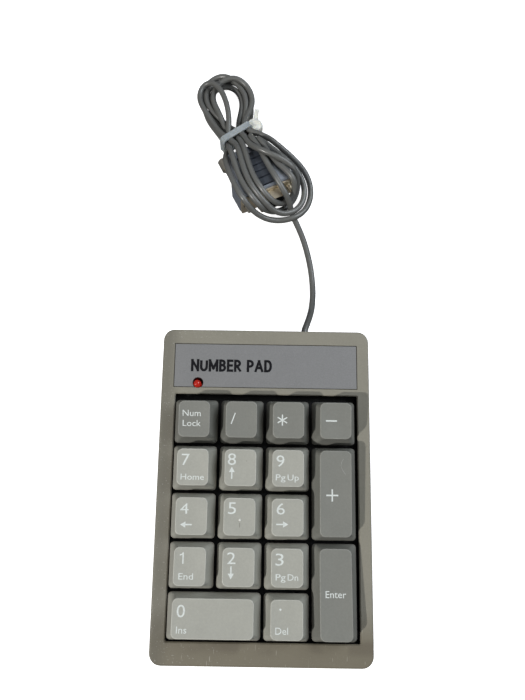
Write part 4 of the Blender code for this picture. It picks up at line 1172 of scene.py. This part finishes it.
def board_finish(name):
    """Green lacquer over a pattern of tracks."""
    n = Nodes(name)
    tracks = n.add("ShaderNodeTexBrick")
    n.link(n.place, tracks.inputs["Vector"])
    put(tracks, scale=400, color1=(0.015, 0.09, 0.03, 1), color2=(0.02, 0.12, 0.045, 1),
        mortar=(0.05, 0.2, 0.08, 1))
    n.set(base_color=tracks.outputs["Color"], roughness=n.mottled(600, 2, 0.3, 0.45))
    n.bump((n.noise(900, 2), 0.2, 0.00004))
    return n.material


# ---- run

def main():
    make_camera()
    cord, length, start = make_cord()
    jacket_grey = jacket("cord_jacket_grey", (0.122, 0.123, 0.117))
    cord.data.materials.append(jacket_grey)
    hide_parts("cord_run", "cord_hank")
    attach(cord, BODY)
    make_room()

    tie = make_tie(nylon("tie_nylon_thin", (0.36, 0.4, 0.42), (0.5, 0.54, 0.56)),
                   nylon("tie_nylon_thick", (0.84, 0.84, 0.77), (0.97, 0.96, 0.89)))

    dress({
        "top_cover": case_finish("case_grey_beige", (0.23, 0.217, 0.177)),
        "bottom_cover": moulded("base_grey_beige", (0.19, 0.182, 0.152), 0.6, 2300, 0.45),
        "label_plate": moulded("label_grey", (0.196, 0.196, 0.198), 0.42, 5200, 0.3, 0.02, 0.6),
        "circuit_board": board_finish("board_green"),
        "controller_chip": rubber("chip_black", (0.02, 0.02, 0.022), 0.5),
        "crystal": metal("bright_plate", (0.78, 0.77, 0.74), 0.2),
        # the guide frame is black plastic, darkened further as painted shade in the gaps between
        # the keys
        "key_guide_frame": moulded("guide_black_and_painted_shade", (0.002, 0.002, 0.002), 0.6, 1500, 0.3),
        "plunger_": moulded("plunger_grey", (0.03, 0.03, 0.03), 0.5, 1500, 0.2),
        "inner_lead": jacket_grey,
        "strain_relief": rubber("relief_grey", (0.15, 0.155, 0.15), 0.6),
        "case_screw": metal("screw_steel", (0.5, 0.49, 0.47), 0.35),
        "foot_": rubber("foot_rubber_black", (0.03, 0.03, 0.03)),
        "plug_hood": metal("hood_grey", (0.62, 0.67, 0.76), 0.38),
        "plug_grip": rubber("grip_slate", (0.035, 0.042, 0.055), 0.5),
        "plug_shell": metal("flange_plate", (0.8, 0.7, 0.54), 0.42, 0.05),
        "plug_insert": moulded("insert_black", (0.02, 0.02, 0.02), 0.5, 1500, 0.2),
        "jackscrew": metal("jackscrew_plate", (0.55, 0.52, 0.45), 0.35),
    })

    # each kind of key: its face; its rim, paler as worn plastic and as a painted highlight on the
    # rounded edge; and its skirt, darker at the foot as grime and as painted shade
    dark = (moulded("key_dark", (0.192, 0.193, 0.174), 0.5, 3200, 0.3, 0.03),
            moulded("key_dark_rim_wear_and_highlight", (0.25, 0.25, 0.226), 0.4, 3200, 0.2, 0.03),
            moulded("key_dark_skirt_grime_and_shade", (0.175, 0.172, 0.152), 0.7, 3200, 0.3, 0.1))
    pale = (moulded("key_pale", (0.35, 0.348, 0.31), 0.5, 3200, 0.3, 0.03),
            moulded("key_pale_rim_wear_and_highlight", (0.445, 0.445, 0.4), 0.4, 3200, 0.2, 0.03),
            moulded("key_pale_skirt_grime_and_shade", (0.33, 0.32, 0.28), 0.7, 3200, 0.3, 0.1))
    ink = printed("legend_ink", (0.68, 0.71, 0.685))
    for name in KEYS:
        make_cap(name, *(dark if name in DARK_KEYS else pale))
        make_legend(name, ink)
    # the pip is pale, partly as worn plastic and partly as a painted glint on its top
    make_nub(printed("pip_wear_and_glint", (0.75, 0.75, 0.7)))
    make_marks(printed("scratch_pale", (0.36, 0.36, 0.34)),
               printed("dirt_brown", (0.24, 0.23, 0.2)))
    label_wording("NUMBER PAD", (34.5, 5.3), Vector((-31.8, 59.3, LABEL_TOP + 0.03)),
                  printed("label_ink", (0.006, 0.006, 0.008)))
    make_domes(rubber("dome_rubber_grey", (0.09, 0.09, 0.085)))
    make_led(tinted_red("led_red_lens"),
             moulded("led_rim_black", (0.02, 0.02, 0.02), 0.5, 1500, 0.2))


main()
